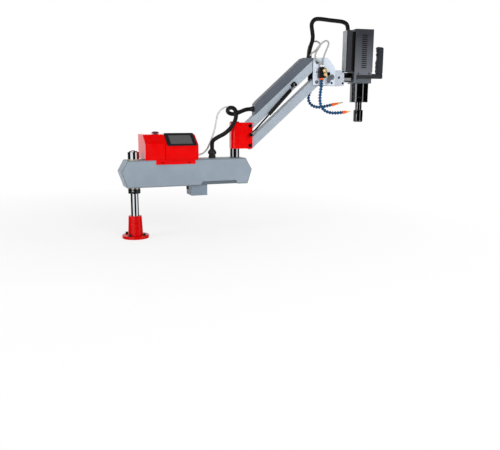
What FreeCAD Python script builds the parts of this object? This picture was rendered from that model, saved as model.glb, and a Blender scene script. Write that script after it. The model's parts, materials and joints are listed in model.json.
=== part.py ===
import FreeCAD, Part
import math
import os
import re
import Sketcher

# Arm tapping machine. Millimetres, +Z up. The origin is the centre of the base flange's
# underside, on the column's axis; the beam runs along +X and the folding arm leaves the elbow
# post at a small angle towards the front.

Vector = FreeCAD.Vector
doc = FreeCAD.newDocument("arm_tapping_machine")
sheet = doc.addObject("Spreadsheet::Sheet", "Sizes")

# Driving dimensions, by sub-part
dimensions = {
    # fits shared by every sub-part
    "seat_clearance": 0.05,
    "running_clearance": 0.05,
    "air_gap": 0.3,
    "cut_overrun": 5,
    # base and column
    "flange_diameter": 150,
    "flange_thickness": 16,
    "base_bolt_circle": 116,
    "base_bolt_hole": 11,
    "base_bolt_count": 4,
    "base_bolt_angle": 45,
    "socket_foot_diameter": 84,
    "socket_top_diameter": 74,
    "socket_height": 125,
    "socket_floor": 14,
    "socket_rim_bevel": 2,
    "column_diameter": 45,
    "column_height": 487,
    "column_bevel": 2,
    # height collar and thrust bearing
    "collar_diameter": 68,
    "collar_base": 252,
    "collar_height": 25,
    "collar_bevel": 1.5,
    "collar_screw_diameter": 10,
    "collar_screw_socket": 5,
    "collar_screw_height": 16,
    "collar_screw_angle": -116,
    "thrust_diameter": 64,
    "thrust_race": 3,
    "thrust_cage": 3.4,
    "thrust_cage_inset": 1.5,
    # beam between the two columns
    "column_spacing": 600,
    "beam_bottom": 287,
    "beam_top": 437,
    "beam_width": 120,
    "beam_wall": 6,
    "beam_tail_top": -44,
    "beam_tail_point": -79,
    "beam_tail_point_height": 375,
    "beam_tail_foot": -49,
    "beam_nose_foot": 661,
    "beam_nose_point": 687,
    "beam_nose_point_height": 370,
    "beam_nose_top": 648.5,
    "notch_left": 368,
    "notch_right": 600,
    "notch_height": 22.5,
    "notch_slope": 15,
    "notch_end_slope": 13,
    "notch_strip_wall": 4,
    "notch_strip_rise": 3,
    "notch_strip_lap": 8,
    "block_rise": 25,
    "block_height": 30,
    "block_half_length": 40,
    "sleeve_diameter": 63,
    "sleeve_bore": 52,
    "sleeve_top": 482,
    "bush_length": 40,
    "cream_ring_diameter": 74,
    "cream_ring_height": 5,
    "post_diameter": 56,
    "post_journal": 36,
    "post_cap_diameter": 54,
    "post_cap_height": 5,
    "cap_screw_diameter": 18,
    "cap_screw_height": 8,
    # electrical boxes on the beam
    "power_box_left": 319,
    "power_box_right": 413,
    "power_box_front": -48,
    "power_box_back": 54,
    "power_box_bottom": 228,
    "power_box_top": 322,
    "power_box_wall": 2,
    "inlet_width": 31,
    "inlet_height": 24,
    "inlet_flange": 2.5,
    "inlet_body_width": 27,
    "inlet_body_height": 20,
    "inlet_wall": 2,
    "inlet_depth": 26,
    "inlet_recess": 16,
    "inlet_pin_spacing": 7,
    "inlet_pin_thickness": 2,
    "inlet_pin_height": 4,
    "inlet_offset": 35,
    "inlet_level": 268,
    "housing_left": 56,
    "housing_step": 168,
    "housing_right": 356,
    "housing_front": -57,
    "housing_back": 122,
    "housing_height": 574.5,
    "housing_nose_height": 527.5,
    "housing_brow": 6,
    "housing_proud": 11,
    "housing_wall": 2,
    "housing_edge_round": 5,
    "skirt_left": 113,
    "skirt_right": 340,
    "skirt_bottom": 412,
    "skirt_gap": 0.3,
    "skirt_screw_left": 151,
    "skirt_screw_right": 302,
    "skirt_screw_level": 422,
    "skirt_screw_head": 9,
    "skirt_screw_hole": 5,
    "tray_thickness": 2,
    "tray_inset": 0.3,
    "drive_left": 190,
    "drive_right": 310,
    "drive_front": 20,
    "drive_back": 105,
    "drive_height": 95,
    "drive_fin_count": 7,
    "drive_fin_depth": 10,
    "drive_fin_width": 3,
    "bezel_left": 176,
    "bezel_right": 347,
    "bezel_length": 108,
    "bezel_height": 4,
    "bezel_corner": 6,
    "bezel_foot": -7,
    "glass_left": 198,
    "glass_right": 325,
    "glass_length": 75,
    "glass_foot": 6,
    "glass_recess": 0.8,
    "estop_place_x": 142,
    "estop_place_y": 64,
    "estop_hole": 22,
    "estop_collar_diameter": 34,
    "estop_collar_height": 2,
    "estop_head_diameter": 44,
    "estop_head_height": 9,
    "estop_head_round": 5,
    "estop_skirt_wall": 3,
    "estop_stem_diameter": 16,
    "estop_stem_length": 30,
    "estop_travel": 4,
    # glands and ports on the beam's top
    "gland_place_x": 464,
    "gland_place_y": 12,
    "gland_diameter": 44,
    "gland_height": 50,
    "gland_flange_height": 14,
    "conduit_diameter": 24,
    "air_port_level": 451,
    "air_port_place_y": 60,
    "air_port_diameter": 14,
    "air_port_length": 22,
    "air_tube_diameter": 9,
    # elbow
    "arm_yaw_angle": 10,
    "bracket_left": -27,
    "bracket_right": 97,
    "bracket_width": 100,
    "bracket_bottom": 491,
    "bracket_top": 641,
    "bracket_round": 30,
    "bracket_slot_root": 55,
    "elbow_bush_wall": 3,
    "elbow_bush_length": 35,
    "pivot_reach": 82,
    "upper_pivot_height": 622.6,
    "lower_pivot_height": 509.6,
    "pin_diameter": 14,
    "pin_head_diameter": 20,
    "pin_head_height": 5,
    # the two parallel links
    "arm_rise_angle": 42.6,
    "link_length": 541,
    "link_height": 48,
    "link_width": 80,
    "link_wall": 4,
    "link_side_gap": 0.5,
    "link_hub_diameter": 34,
    "link_bush_wall": 3,
    "link_bush_length": 20,
    # cable cover on the upper link
    "cover_height": 73,
    "cover_foot": 63,
    "cover_brow": 497,
    "cover_wall": 2,
    "cover_nose_cut": 22,
    "cover_gland_diameter": 30,
    "cover_gland_height": 20,
    "cover_gland_flange": 7,
    "lower_gland_drop": 26,
    "tube_port_diameter": 14,
    "tube_port_height": 12,
    "tube_port_offset": 28,
    "upper_gland_back": 35,
    # gas strut
    "strut_offset": 72,
    "strut_pivot_height": 571.5,
    "strut_eye_along": 352,
    "strut_eye_below": 4,
    "strut_eye_diameter": 20,
    "strut_eye_width": 14.4,
    "strut_stud_diameter": 10,
    "strut_boss_diameter": 16,
    "strut_rod_diameter": 10,
    "strut_fitting_diameter": 14,
    "strut_fitting_length": 34,
    "strut_tube_diameter": 22,
    "strut_tube_wall": 2,
    "strut_tube_start": 158,
    "strut_tube_length": 191,
    "strut_guide_length": 12,
    "strut_piston_length": 8,
    "strut_piston_place": 22,
    "strut_lug_thickness": 4,
    "strut_lug_width": 22,
    "strut_lug_length": 34,
    # front bracket
    "plate_left": 457,
    "plate_bottom": 858,
    "plate_top_left": 1013.5,
    "plate_top_right": 1016,
    "plate_shoulder": 544,
    "plate_joint": 595,
    "plate_step_height": 957,
    "plate_thickness": 9.5,
    "block_right": 651,
    "block_top": 946,
    "block_tongue": 42,
    "block_edge_bevel": 2,
    "boss_place_x": 574,
    "boss_height": 905,
    "boss_diameter": 30,
    "boss_thickness": 2.5,
    "block_screw_head": 9,
    "block_screw_inset": 7.5,
    "block_screw_rise": 14,
    "block_screw_depth": 18,
    "stop_bar_diameter": 16,
    "stop_bar_core": 8,
    # coolant valves and hoses
    "manifold_left": 486,
    "manifold_right": 526,
    "manifold_bottom": 900,
    "manifold_top": 955,
    "manifold_depth": 30,
    "port_diameter": 12,
    "port_length": 11,
    "brass_diameter": 14,
    "brass_length": 11,
    "valve_pivot_x": 548,
    "valve_pivot_z": 924,
    "valve_hub_diameter": 12,
    "valve_hub_length": 20,
    "lever_length": 40,
    "lever_width": 6,
    "lever_knob_diameter": 15,
    "hose_diameter": 19,
    "hose_bore": 8,
    "hose_rib_pitch": 18,
    "hose_waist": 13,
    "nozzle_length": 30,
    "nozzle_tip_length": 22,
    "far_tip_length": 46,
    "nozzle_tip_diameter": 7,
    # head
    "tilt_height": 907,
    "barrel_diameter": 57,
    "tilt_journal": 44,
    "journal_left": 575,
    "head_reach": 769,
    "gear_block_bottom": 873,
    "gear_block_top": 938,
    "gear_block_bevel": 9,
    "cover_box_length": 115,
    "cover_box_width": 120,
    "cover_box_top": 1183,
    "cover_box_wall": 2,
    "cover_box_round": 6,
    "cover_tab_drop": 17,
    "cover_tab_length": 104,
    "louvre_count": 17,
    "louvre_pitch": 11.5,
    "louvre_length": 32,
    "louvre_height": 6,
    "louvre_first": 964,
    "servo_side": 80,
    "servo_height": 150,
    "servo_corner": 8,
    "encoder_side": 58,
    "encoder_height": 45,
    "cable_box_left": 661,
    "cable_box_right": 694,
    "cable_box_front": -50,
    "cable_box_back": 22,
    "cable_box_bottom": 939,
    "cable_box_top": 1176,
    "cable_box_round": 4,
    "cable_spacer_inset": 9,
    "reducer_diameter": 109,
    "reducer_bottom": 762.5,
    "reducer_bevel": 1.5,
    "reducer_bore": 62,
    "reducer_bore_depth": 24,
    "shank_diameter": 40,
    "shank_flange": 60,
    "shank_flange_height": 8,
    "shank_nose": 31,
    "shank_nose_length": 26,
    "holder_top": 717,
    "holder_bottom": 645,
    "holder_diameter": 57,
    "holder_round": 8,
    "holder_bore": 19,
    "holder_bore_depth": 40,
    "handle_bottom": 904,
    "handle_top": 932,
    "handle_right": 913,
    "handle_width": 32,
    "grip_left": 878,
    "grip_top": 1088,
    "grip_round": 9,
    "grip_cap_height": 10,
    "button_diameter": 15,
    "button_proud": 6,
    "button_travel": 3,
    "forward_button_level": 1068,
    "reverse_button_level": 1044,
}

row = 0
for name, number in dimensions.items():
    row += 1
    sheet.set("A%d" % row, name)
    sheet.set("B%d" % row, "%s" % number)
    sheet.setAlias("B%d" % row, name)
doc.recompute()


def value(expression):
    # a number worked out by the sheet
    return float(sheet.evalExpression(str(expression)))


def bound(expression):
    # the same expression, naming the sheet's cells for another object
    def prefixed(word):
        return "Sizes." + word[0] if word[0] in dimensions else word[0]
    return re.sub(r"[a-z][a-z_]*", prefixed, str(expression))


def bind(thing, prop, expression):
    number = value(expression)
    setattr(thing, prop, round(number) if prop == "Occurrences" else number)
    thing.setExpression(prop, bound(expression))


def minus(expression):
    return "-(%s)" % expression


nodes = {}


def node(label, shape_object, frame=None):
    # a finished sub-part: its label names its file, its placement sets it in the machine
    if frame is not None and shape_object.TypeId in ("Part::Box", "Part::Cylinder"):
        shape_object = group(shape_object)
    shape_object.Label = label
    if frame is not None:
        shape_object.Placement = frame
    nodes[label] = shape_object
    return shape_object


# Bodies with sketches

def new_body(name):
    return doc.addObject("PartDesign::Body", name + "_body")


def origin_part(body, role):
    return [part for part in body.Origin.OriginFeatures if part.Role == role][0]


def new_sketch(body, plane, offset="0"):
    sketch = body.newObject("Sketcher::SketchObject", "sketch")
    sketch.AttachmentSupport = [(origin_part(body, plane), "")]
    sketch.MapMode = "FlatFace"
    sketch.AttachmentOffset = FreeCAD.Placement(Vector(0, 0, value(offset)), FreeCAD.Rotation())
    if offset != "0":
        sketch.setExpression("AttachmentOffset.Base.z", bound(offset))
    return sketch


def fix_point(sketch, element, end, x, y):
    # holds one point of the sketch at two expressions
    for across, expression, axis in (("DistanceX", x, -2), ("DistanceY", y, -1)):
        number = value(expression)
        if abs(number) < 1e-9:
            sketch.addConstraint(Sketcher.Constraint("PointOnObject", element, end, axis))
        else:
            index = sketch.addConstraint(Sketcher.Constraint(across, -1, 1, element, end, number))
            sketch.setExpression("Constraints[%d]" % index, bound(expression))


def outline(sketch, points):
    # a closed outline of straight edges, every corner given by two expressions
    corners = [Vector(value(x), value(y), 0) for x, y in points]
    first = sketch.GeometryCount
    count = len(corners)
    sketch.addGeometry([Part.LineSegment(corners[i], corners[(i + 1) % count]) for i in range(count)], False)
    for i in range(count):
        sketch.addConstraint(Sketcher.Constraint("Coincident", first + i, 2, first + (i + 1) % count, 1))
    for i, (x, y) in enumerate(points):
        fix_point(sketch, first + i, 1, x, y)
    return sketch


def rectangle(sketch, left, bottom, right, top):
    return outline(sketch, [(left, bottom), (right, bottom), (right, top), (left, top)])


def circle(sketch, x, y, diameter):
    index = sketch.addGeometry(Part.Circle(Vector(value(x), value(y), 0), Vector(0, 0, 1), value(diameter) / 2), False)
    fix_point(sketch, index, 3, x, y)
    size = sketch.addConstraint(Sketcher.Constraint("Radius", index, value(diameter) / 2))
    sketch.setExpression("Constraints[%d]" % size, bound("(%s) / 2" % diameter))
    return sketch


def pad(body, sketch, length, symmetric=False, reverse=False):
    feature = body.newObject("PartDesign::Pad", "pad")
    feature.Profile = sketch
    feature.SideType = "Symmetric" if symmetric else "One side"
    feature.Reversed = reverse
    bind(feature, "Length", length)
    doc.recompute()
    return feature


def pocket(body, sketch, length=None, symmetric=False, reverse=False):
    before = body.Tip.Shape.Volume
    feature = body.newObject("PartDesign::Pocket", "pocket")
    feature.Profile = sketch
    feature.Reversed = reverse
    if length is None:
        feature.Type = "ThroughAll"
        feature.SideType = "Symmetric"
    else:
        feature.SideType = "Symmetric" if symmetric else "One side"
        bind(feature, "Length", length)
    doc.recompute()
    if feature.Shape.Volume >= before:
        raise RuntimeError("a pocket of %s cuts nothing" % body.Name)
    return feature


def revolve(body, sketch, axis="V_Axis"):
    feature = body.newObject("PartDesign::Revolution", "revolution")
    feature.Profile = sketch
    feature.ReferenceAxis = (sketch, [axis])
    feature.Angle = 360
    doc.recompute()
    return feature


def turned(name, points, plane="XZ_Plane", axis="V_Axis"):
    # a body of revolution from its half section
    body = new_body(name)
    revolve(body, outline(new_sketch(body, plane), points), axis)
    return body


def straight_edges(feature, direction, spots):
    # names of the straight edges along a direction (0, 1, 2) that pass near the given spots
    others = [axis for axis in range(3) if axis != direction]
    wanted = [(value(a), value(b)) for a, b in spots]
    names = []
    for index, edge in enumerate(feature.Shape.Edges):
        if edge.Curve.TypeId != "Part::GeomLine" or len(edge.Vertexes) < 2:
            continue
        start, end = edge.Vertexes[0].Point, edge.Vertexes[-1].Point
        if max(abs(start[axis] - end[axis]) for axis in others) > 1e-4:
            continue
        if any(math.hypot(start[others[0]] - a, start[others[1]] - b) < 1e-3 for a, b in wanted):
            names.append("Edge%d" % (index + 1))
    return names


def dress(body, kind, edge_names, size):
    if not edge_names:
        raise RuntimeError("no edge to dress on %s" % body.Name)
    base = body.Tip
    feature = body.newObject("PartDesign::" + kind, kind.lower())
    feature.Base = (base, edge_names)
    bind(feature, "Radius" if kind == "Fillet" else "Size", size)
    doc.recompute()
    return feature


def repeat_round(body, feature, count, axis="Z_Axis"):
    pattern = body.newObject("PartDesign::PolarPattern", "pattern")
    pattern.Originals = [feature]
    pattern.Axis = (origin_part(body, axis), [""])
    pattern.Angle = 360
    bind(pattern, "Occurrences", count)
    body.Tip = pattern
    doc.recompute()
    return pattern


def repeat_along(body, feature, axis, length, count):
    pattern = body.newObject("PartDesign::LinearPattern", "pattern")
    pattern.Originals = [feature]
    pattern.Direction = (origin_part(body, axis), [""])
    bind(pattern, "Length", length)
    bind(pattern, "Occurrences", count)
    body.Tip = pattern
    doc.recompute()
    return pattern


# Primitives and booleans

def place(thing, x, y, z, rotation=None):
    thing.Placement = FreeCAD.Placement(Vector(value(x), value(y), value(z)), rotation or FreeCAD.Rotation())
    for axis, expression in (("x", x), ("y", y), ("z", z)):
        if str(expression) != "0":
            thing.setExpression("Placement.Base." + axis, bound(expression))
    return thing


along = {
    "z": FreeCAD.Rotation(),
    "-z": FreeCAD.Rotation(Vector(1, 0, 0), 180),
    "x": FreeCAD.Rotation(Vector(0, 1, 0), 90),
    "-x": FreeCAD.Rotation(Vector(0, 1, 0), -90),
    "y": FreeCAD.Rotation(Vector(1, 0, 0), -90),
    "-y": FreeCAD.Rotation(Vector(1, 0, 0), 90),
}


def cylinder(diameter, length, x="0", y="0", z="0", axis="z"):
    thing = doc.addObject("Part::Cylinder", "cylinder")
    bind(thing, "Radius", "(%s) / 2" % diameter)
    bind(thing, "Height", length)
    return place(thing, x, y, z, along[axis])


def cone(diameter, end_diameter, length, x="0", y="0", z="0", axis="z"):
    thing = doc.addObject("Part::Cone", "cone")
    bind(thing, "Radius1", "(%s) / 2" % diameter)
    bind(thing, "Radius2", "(%s) / 2" % end_diameter)
    bind(thing, "Height", length)
    return place(thing, x, y, z, along[axis])


def hexagon(across_corners, length, x="0", y="0", z="0", axis="z"):
    thing = doc.addObject("Part::Prism", "hexagon")
    thing.Polygon = 6
    bind(thing, "Circumradius", "(%s) / 2" % across_corners)
    bind(thing, "Height", length)
    return place(thing, x, y, z, along[axis])


def box(left, front, bottom, right, back, top):
    thing = doc.addObject("Part::Box", "box")
    bind(thing, "Length", "(%s) - (%s)" % (right, left))
    bind(thing, "Width", "(%s) - (%s)" % (back, front))
    bind(thing, "Height", "(%s) - (%s)" % (top, bottom))
    return place(thing, left, front, bottom)


def joined(*things):
    if len(things) == 1:
        return things[0]
    result = doc.addObject("Part::MultiFuse", "joined")
    result.Shapes = list(things)
    return result


def cut(base, *tools):
    result = doc.addObject("Part::Cut", "cut")
    result.Base = base
    result.Tool = joined(*tools)
    return result


def group(*things):
    # identical or matching loose pieces that share one sub-part
    result = doc.addObject("Part::Compound", "group")
    result.Links = list(things)
    return result


def ring(outer, inner, length, x="0", y="0", z="0", axis="z"):
    return cut(cylinder(outer, length, x, y, z, axis), cylinder(inner, length, x, y, z, axis))


def socket_screw(head, head_length, shank, shank_length, x, y, z, axis):
    # cap screw: head standing on the given place, shank going in against the axis
    back = {"z": "-z", "x": "-x", "y": "-y", "-y": "y", "-x": "x", "-z": "z"}[axis]
    body = joined(cylinder(head, head_length, x, y, z, axis), cylinder(shank, shank_length, x, y, z, back))
    key = hexagon("(%s) * 0.6" % head, "(%s) * 0.6" % head_length, *top_of(x, y, z, axis, head_length), back)
    return cut(body, key)


def top_of(x, y, z, axis, length):
    sign = "-" if axis.startswith("-") else "+"
    spot = {"x": x, "y": y, "z": z}
    letter = axis[-1]
    spot[letter] = "(%s) %s (%s)" % (spot[letter], sign, length)
    return spot["x"], spot["y"], spot["z"]


# Frames: the arm swings on the elbow post, the links lean at the arm's rise angle
arm = FreeCAD.Placement(Vector(value("column_spacing"), 0, 0), FreeCAD.Rotation(Vector(0, 0, 1), -value("arm_yaw_angle")))
lean = FreeCAD.Rotation(Vector(0, 1, 0), -value("arm_rise_angle"))
lower_frame = arm * FreeCAD.Placement(Vector(value("pivot_reach"), 0, value("lower_pivot_height")), lean)
upper_frame = arm * FreeCAD.Placement(Vector(value("pivot_reach"), 0, value("upper_pivot_height")), lean)


# Base: flanged socket with a tapered neck
base = turned("base_socket", [
    ("0", "0"),
    ("flange_diameter / 2", "0"),
    ("flange_diameter / 2", "flange_thickness"),
    ("socket_foot_diameter / 2", "flange_thickness"),
    ("socket_top_diameter / 2", "socket_height - socket_rim_bevel"),
    ("socket_top_diameter / 2 - socket_rim_bevel", "socket_height"),
    ("column_diameter / 2 + seat_clearance", "socket_height"),
    ("column_diameter / 2 + seat_clearance", "socket_floor"),
    ("0", "socket_floor")])
bolt_hole = pocket(base, circle(new_sketch(base, "XY_Plane"), "base_bolt_circle / 2 * cos(base_bolt_angle)",
                                "base_bolt_circle / 2 * sin(base_bolt_angle)", "base_bolt_hole"))
repeat_round(base, bolt_hole, "base_bolt_count")
node("base_socket", base)

column = turned("base_column", [
    ("0", "socket_floor"),
    ("column_diameter / 2", "socket_floor"),
    ("column_diameter / 2", "column_height - column_bevel"),
    ("column_diameter / 2 - column_bevel", "column_height"),
    ("0", "column_height")])
node("base_column", column)

# Height collar: a ring clamped to the column by radial screws
collar_bore = "column_diameter / 2 + running_clearance"
collar_top = "collar_base + collar_height"
collar = turned("height_collar", [
    (collar_bore, "collar_base"),
    ("collar_diameter / 2 - collar_bevel", "collar_base"),
    ("collar_diameter / 2", "collar_base + collar_bevel"),
    ("collar_diameter / 2", collar_top + " - collar_bevel"),
    ("collar_diameter / 2 - collar_bevel", collar_top),
    (collar_bore, collar_top)])
screw_turn = FreeCAD.Rotation(Vector(0, 0, 1), value("collar_screw_angle"))
screw_frame = FreeCAD.Placement(Vector(0, 0, value("collar_base + collar_screw_height")), screw_turn)
collar_hole = cylinder("collar_screw_diameter + 2 * seat_clearance", "collar_diameter", axis="x")
collar_hole.Placement = screw_frame * FreeCAD.Placement(Vector(0, 0, 0), along["x"])
node("height_collar", cut(collar, collar_hole))
collar_screw = cylinder("collar_screw_diameter", "collar_diameter / 2 - column_diameter / 2 - running_clearance")
screw_key = hexagon("collar_screw_socket", "collar_screw_socket")
collar_screw.Placement = screw_frame * FreeCAD.Placement(Vector(value("column_diameter / 2 + running_clearance"), 0, 0), along["x"])
screw_key.Placement = screw_frame * FreeCAD.Placement(Vector(value("collar_diameter / 2 - collar_screw_socket"), 0, 0), along["x"])
node("collar_screws", cut(collar_screw, screw_key))

# Thrust bearing under the beam: lower race, cage, upper race
race_bore = "column_diameter + 2 * air_gap"
race_two = collar_top + " + thrust_race"
race_three = race_two + " + thrust_cage"
node("thrust_bearing", group(
    ring("thrust_diameter", race_bore, "thrust_race", z=collar_top),
    ring("thrust_diameter - 2 * thrust_cage_inset", race_bore + " + 2 * thrust_cage_inset", "thrust_cage", z=race_two),
    ring("thrust_diameter", race_bore, "beam_bottom - air_gap - (%s)" % race_three, z=race_three)))

# Beam: welded plates, open below, with pointed ends and a shallow notch in the front plate
beam = new_body("beam_shell")
pad(beam, outline(new_sketch(beam, "XZ_Plane"), [
    ("beam_tail_foot", "beam_bottom"),
    ("beam_nose_foot", "beam_bottom"),
    ("beam_nose_point", "beam_nose_point_height"),
    ("beam_nose_top", "beam_top"),
    ("beam_tail_top", "beam_top"),
    ("beam_tail_point", "beam_tail_point_height")]), "beam_width", symmetric=True)
pocket(beam, outline(new_sketch(beam, "XZ_Plane"), [
    ("beam_tail_foot + beam_wall", "beam_bottom - cut_overrun"),
    ("beam_nose_foot - beam_wall", "beam_bottom - cut_overrun"),
    ("beam_nose_foot - beam_wall", "beam_bottom"),
    ("beam_nose_point - beam_wall", "beam_nose_point_height"),
    ("beam_nose_top - beam_wall", "beam_top - beam_wall"),
    ("beam_tail_top + beam_wall", "beam_top - beam_wall"),
    ("beam_tail_point + beam_wall", "beam_tail_point_height"),
    ("beam_tail_foot + beam_wall", "beam_bottom")]), "beam_width - 2 * beam_wall", symmetric=True)
pocket(beam, outline(new_sketch(beam, "XZ_Plane", "beam_width / 2 + cut_overrun"), [
    ("notch_left", "beam_bottom - cut_overrun"),
    ("notch_right", "beam_bottom - cut_overrun"),
    ("notch_right", "beam_bottom"),
    ("notch_right - notch_end_slope", "beam_bottom + notch_height"),
    ("notch_left + notch_slope", "beam_bottom + notch_height"),
    ("notch_left", "beam_bottom")]), "beam_wall + 2 * cut_overrun")
strip = new_sketch(beam, "XZ_Plane", "beam_width / 2 - beam_wall - notch_strip_wall")
pad(beam, rectangle(strip, "notch_left - notch_strip_lap", "beam_bottom + notch_strip_rise", "notch_right + notch_strip_lap",
                    "beam_bottom + block_rise - air_gap"), "notch_strip_wall")
top_holes = new_sketch(beam, "XY_Plane", "beam_top")
circle(top_holes, "0", "0", "sleeve_diameter + 2 * seat_clearance")
circle(top_holes, "column_spacing", "0", "post_diameter + 2 * seat_clearance")
circle(top_holes, "gland_place_x", "gland_place_y", "conduit_diameter")
pocket(beam, top_holes, "beam_wall + cut_overrun")
node("beam_shell", beam)

# Bearing blocks welded between the plates round the two columns
blocks = new_body("bearing_blocks")
block_plan = new_sketch(blocks, "XY_Plane", "beam_bottom + block_rise")
inner_half = "beam_width / 2 - beam_wall"
rectangle(block_plan, "-block_half_length", minus(inner_half), "block_half_length", inner_half)
circle(block_plan, "0", "0", "sleeve_diameter + 2 * seat_clearance")
rectangle(block_plan, "column_spacing - block_half_length", minus(inner_half), "column_spacing + block_half_length", inner_half)
circle(block_plan, "column_spacing", "0", "post_diameter + 2 * seat_clearance")
pad(blocks, block_plan, "block_height")
node("bearing_blocks", blocks)

node("column_sleeve", ring("sleeve_diameter", "sleeve_bore", "sleeve_top - beam_bottom", z="beam_bottom"))
bush_outer = "sleeve_bore - 2 * seat_clearance"
bush_inner = "column_diameter + 2 * running_clearance"
node("column_bushes", group(
    ring(bush_outer, bush_inner, "bush_length", z="beam_bottom"),
    ring(bush_outer, bush_inner, "bush_length", z="sleeve_top - bush_length"),
    ring("cream_ring_diameter", "sleeve_diameter + 2 * seat_clearance", "cream_ring_height", z="beam_top")))

post = turned("elbow_post", [
    ("0", "beam_bottom + block_rise"),
    ("post_diameter / 2", "beam_bottom + block_rise"),
    ("post_diameter / 2", "bracket_bottom - running_clearance"),
    ("post_journal / 2", "bracket_bottom - running_clearance"),
    ("post_journal / 2", "bracket_top + running_clearance"),
    ("0", "bracket_top + running_clearance")])
post_place = FreeCAD.Placement(Vector(value("column_spacing"), 0, 0), FreeCAD.Rotation())
node("elbow_post", post, post_place)
cap_bottom = "bracket_top + running_clearance"
node("post_cap", group(
    cylinder("post_cap_diameter", "post_cap_height", "column_spacing", "0", cap_bottom),
    cut(cylinder("cap_screw_diameter", "cap_screw_height", "column_spacing", "0", cap_bottom + " + post_cap_height"),
        hexagon("cap_screw_diameter / 2", "cap_screw_height / 2", "column_spacing", "0",
                cap_bottom + " + post_cap_height + cap_screw_height / 2"))))

# Power box under the beam: a folded tray, its mouth inside the beam, with the mains inlet on its left
tray = box("power_box_left", "power_box_front", "power_box_bottom", "power_box_right", "power_box_back", "power_box_top")
tray_inside = box("power_box_left + power_box_wall", "power_box_front + power_box_wall", "power_box_bottom + power_box_wall",
                  "power_box_right - power_box_wall", "power_box_back - power_box_wall", "power_box_top + cut_overrun")
inlet_hole = box("power_box_left - cut_overrun", "inlet_offset - inlet_body_width / 2 - seat_clearance",
                 "inlet_level - inlet_body_height / 2 - seat_clearance", "power_box_left + power_box_wall + cut_overrun",
                 "inlet_offset + inlet_body_width / 2 + seat_clearance",
                 "inlet_level + inlet_body_height / 2 + seat_clearance")
node("power_box", cut(tray, tray_inside, inlet_hole))
inlet_face = "power_box_left - inlet_flange"
inlet_shell = joined(
    box(inlet_face, "inlet_offset - inlet_width / 2", "inlet_level - inlet_height / 2", "power_box_left",
        "inlet_offset + inlet_width / 2", "inlet_level + inlet_height / 2"),
    box("power_box_left", "inlet_offset - inlet_body_width / 2", "inlet_level - inlet_body_height / 2",
        "power_box_left + inlet_depth", "inlet_offset + inlet_body_width / 2", "inlet_level + inlet_body_height / 2"))
inlet_well = box(inlet_face + " - cut_overrun", "inlet_offset - inlet_body_width / 2 + inlet_wall",
                 "inlet_level - inlet_body_height / 2 + inlet_wall", inlet_face + " + inlet_recess",
                 "inlet_offset + inlet_body_width / 2 - inlet_wall",
                 "inlet_level + inlet_body_height / 2 - inlet_wall")
inlet_pins = [box(inlet_face + " + inlet_flange", "inlet_offset + (%d) * inlet_pin_spacing - inlet_pin_thickness / 2" % side,
                  "inlet_level - inlet_pin_height / 2", inlet_face + " + inlet_recess",
                  "inlet_offset + (%d) * inlet_pin_spacing + inlet_pin_thickness / 2" % side,
                  "inlet_level + inlet_pin_height / 2") for side in (-1, 0, 1)]
node("power_inlet", joined(cut(inlet_shell, inlet_well), *inlet_pins))

# Control housing: two modules with a sloping front, folded from sheet, over the beam's back half
slope = "((housing_height - housing_nose_height) / (housing_brow - housing_front))"


def housing_side(front, inset, bottom):
    # the housing's side profile, (y, z), drawn in by a wall and open or closed below
    low = "%s + %s" % (front, inset)
    return [
        (low, bottom),
        ("housing_back - %s" % inset, bottom),
        ("housing_back - %s" % inset, "housing_height - %s" % inset),
        ("housing_brow", "housing_height - %s" % inset),
        (low, "housing_height - %s - (housing_brow - (%s)) * %s" % (inset, low, slope))]


housing = new_body("control_housing")
right_front = "housing_front - housing_proud"
pad(housing, outline(new_sketch(housing, "YZ_Plane", "housing_left"), housing_side("housing_front", "0", "beam_top")),
    "housing_step - housing_left")
pad(housing, outline(new_sketch(housing, "YZ_Plane", "housing_step"), housing_side(right_front, "0", "beam_top")),
    "housing_right - housing_step")
for start, end, front in (("housing_left + housing_wall", "housing_step + housing_wall", "housing_front"),
                          ("housing_step + housing_wall", "housing_right - housing_wall", right_front)):
    inside = new_sketch(housing, "YZ_Plane", end)
    outline(inside, housing_side(front, "housing_wall", "beam_top - cut_overrun"))
    pocket(housing, inside, "(%s) - (%s)" % (end, start))
skirt = new_sketch(housing, "YZ_Plane", "skirt_left")
skirt_face = "-beam_width / 2 - skirt_gap"
outline(skirt, [
    (skirt_face + " - housing_wall", "skirt_bottom"),
    (skirt_face, "skirt_bottom"),
    (skirt_face, "beam_top"),
    ("housing_front + housing_wall", "beam_top"),
    ("housing_front + housing_wall", "beam_top + housing_wall"),
    (skirt_face + " - housing_wall", "beam_top + housing_wall")])
pad(housing, skirt, "skirt_right - skirt_left")
estop_hole = circle(new_sketch(housing, "XY_Plane", "housing_height"), "estop_place_x", "estop_place_y", "estop_hole")
pocket(housing, estop_hole, "housing_wall + cut_overrun")
skirt_holes = new_sketch(housing, "XZ_Plane", "beam_width / 2 + skirt_gap + housing_wall")
for spot in ("skirt_screw_left", "skirt_screw_right"):
    circle(skirt_holes, spot, "skirt_screw_level", "skirt_screw_hole")
pocket(housing, skirt_holes, "housing_wall + skirt_gap / 2")
node("control_housing", housing)

node("housing_screws", group(*[
    socket_screw("skirt_screw_head", "skirt_screw_head / 3", "skirt_screw_hole - 2 * seat_clearance",
                 "housing_wall + skirt_gap - seat_clearance", spot, skirt_face + " - housing_wall",
                 "skirt_screw_level", "-y")
    for spot in ("skirt_screw_left", "skirt_screw_right")]))

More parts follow.
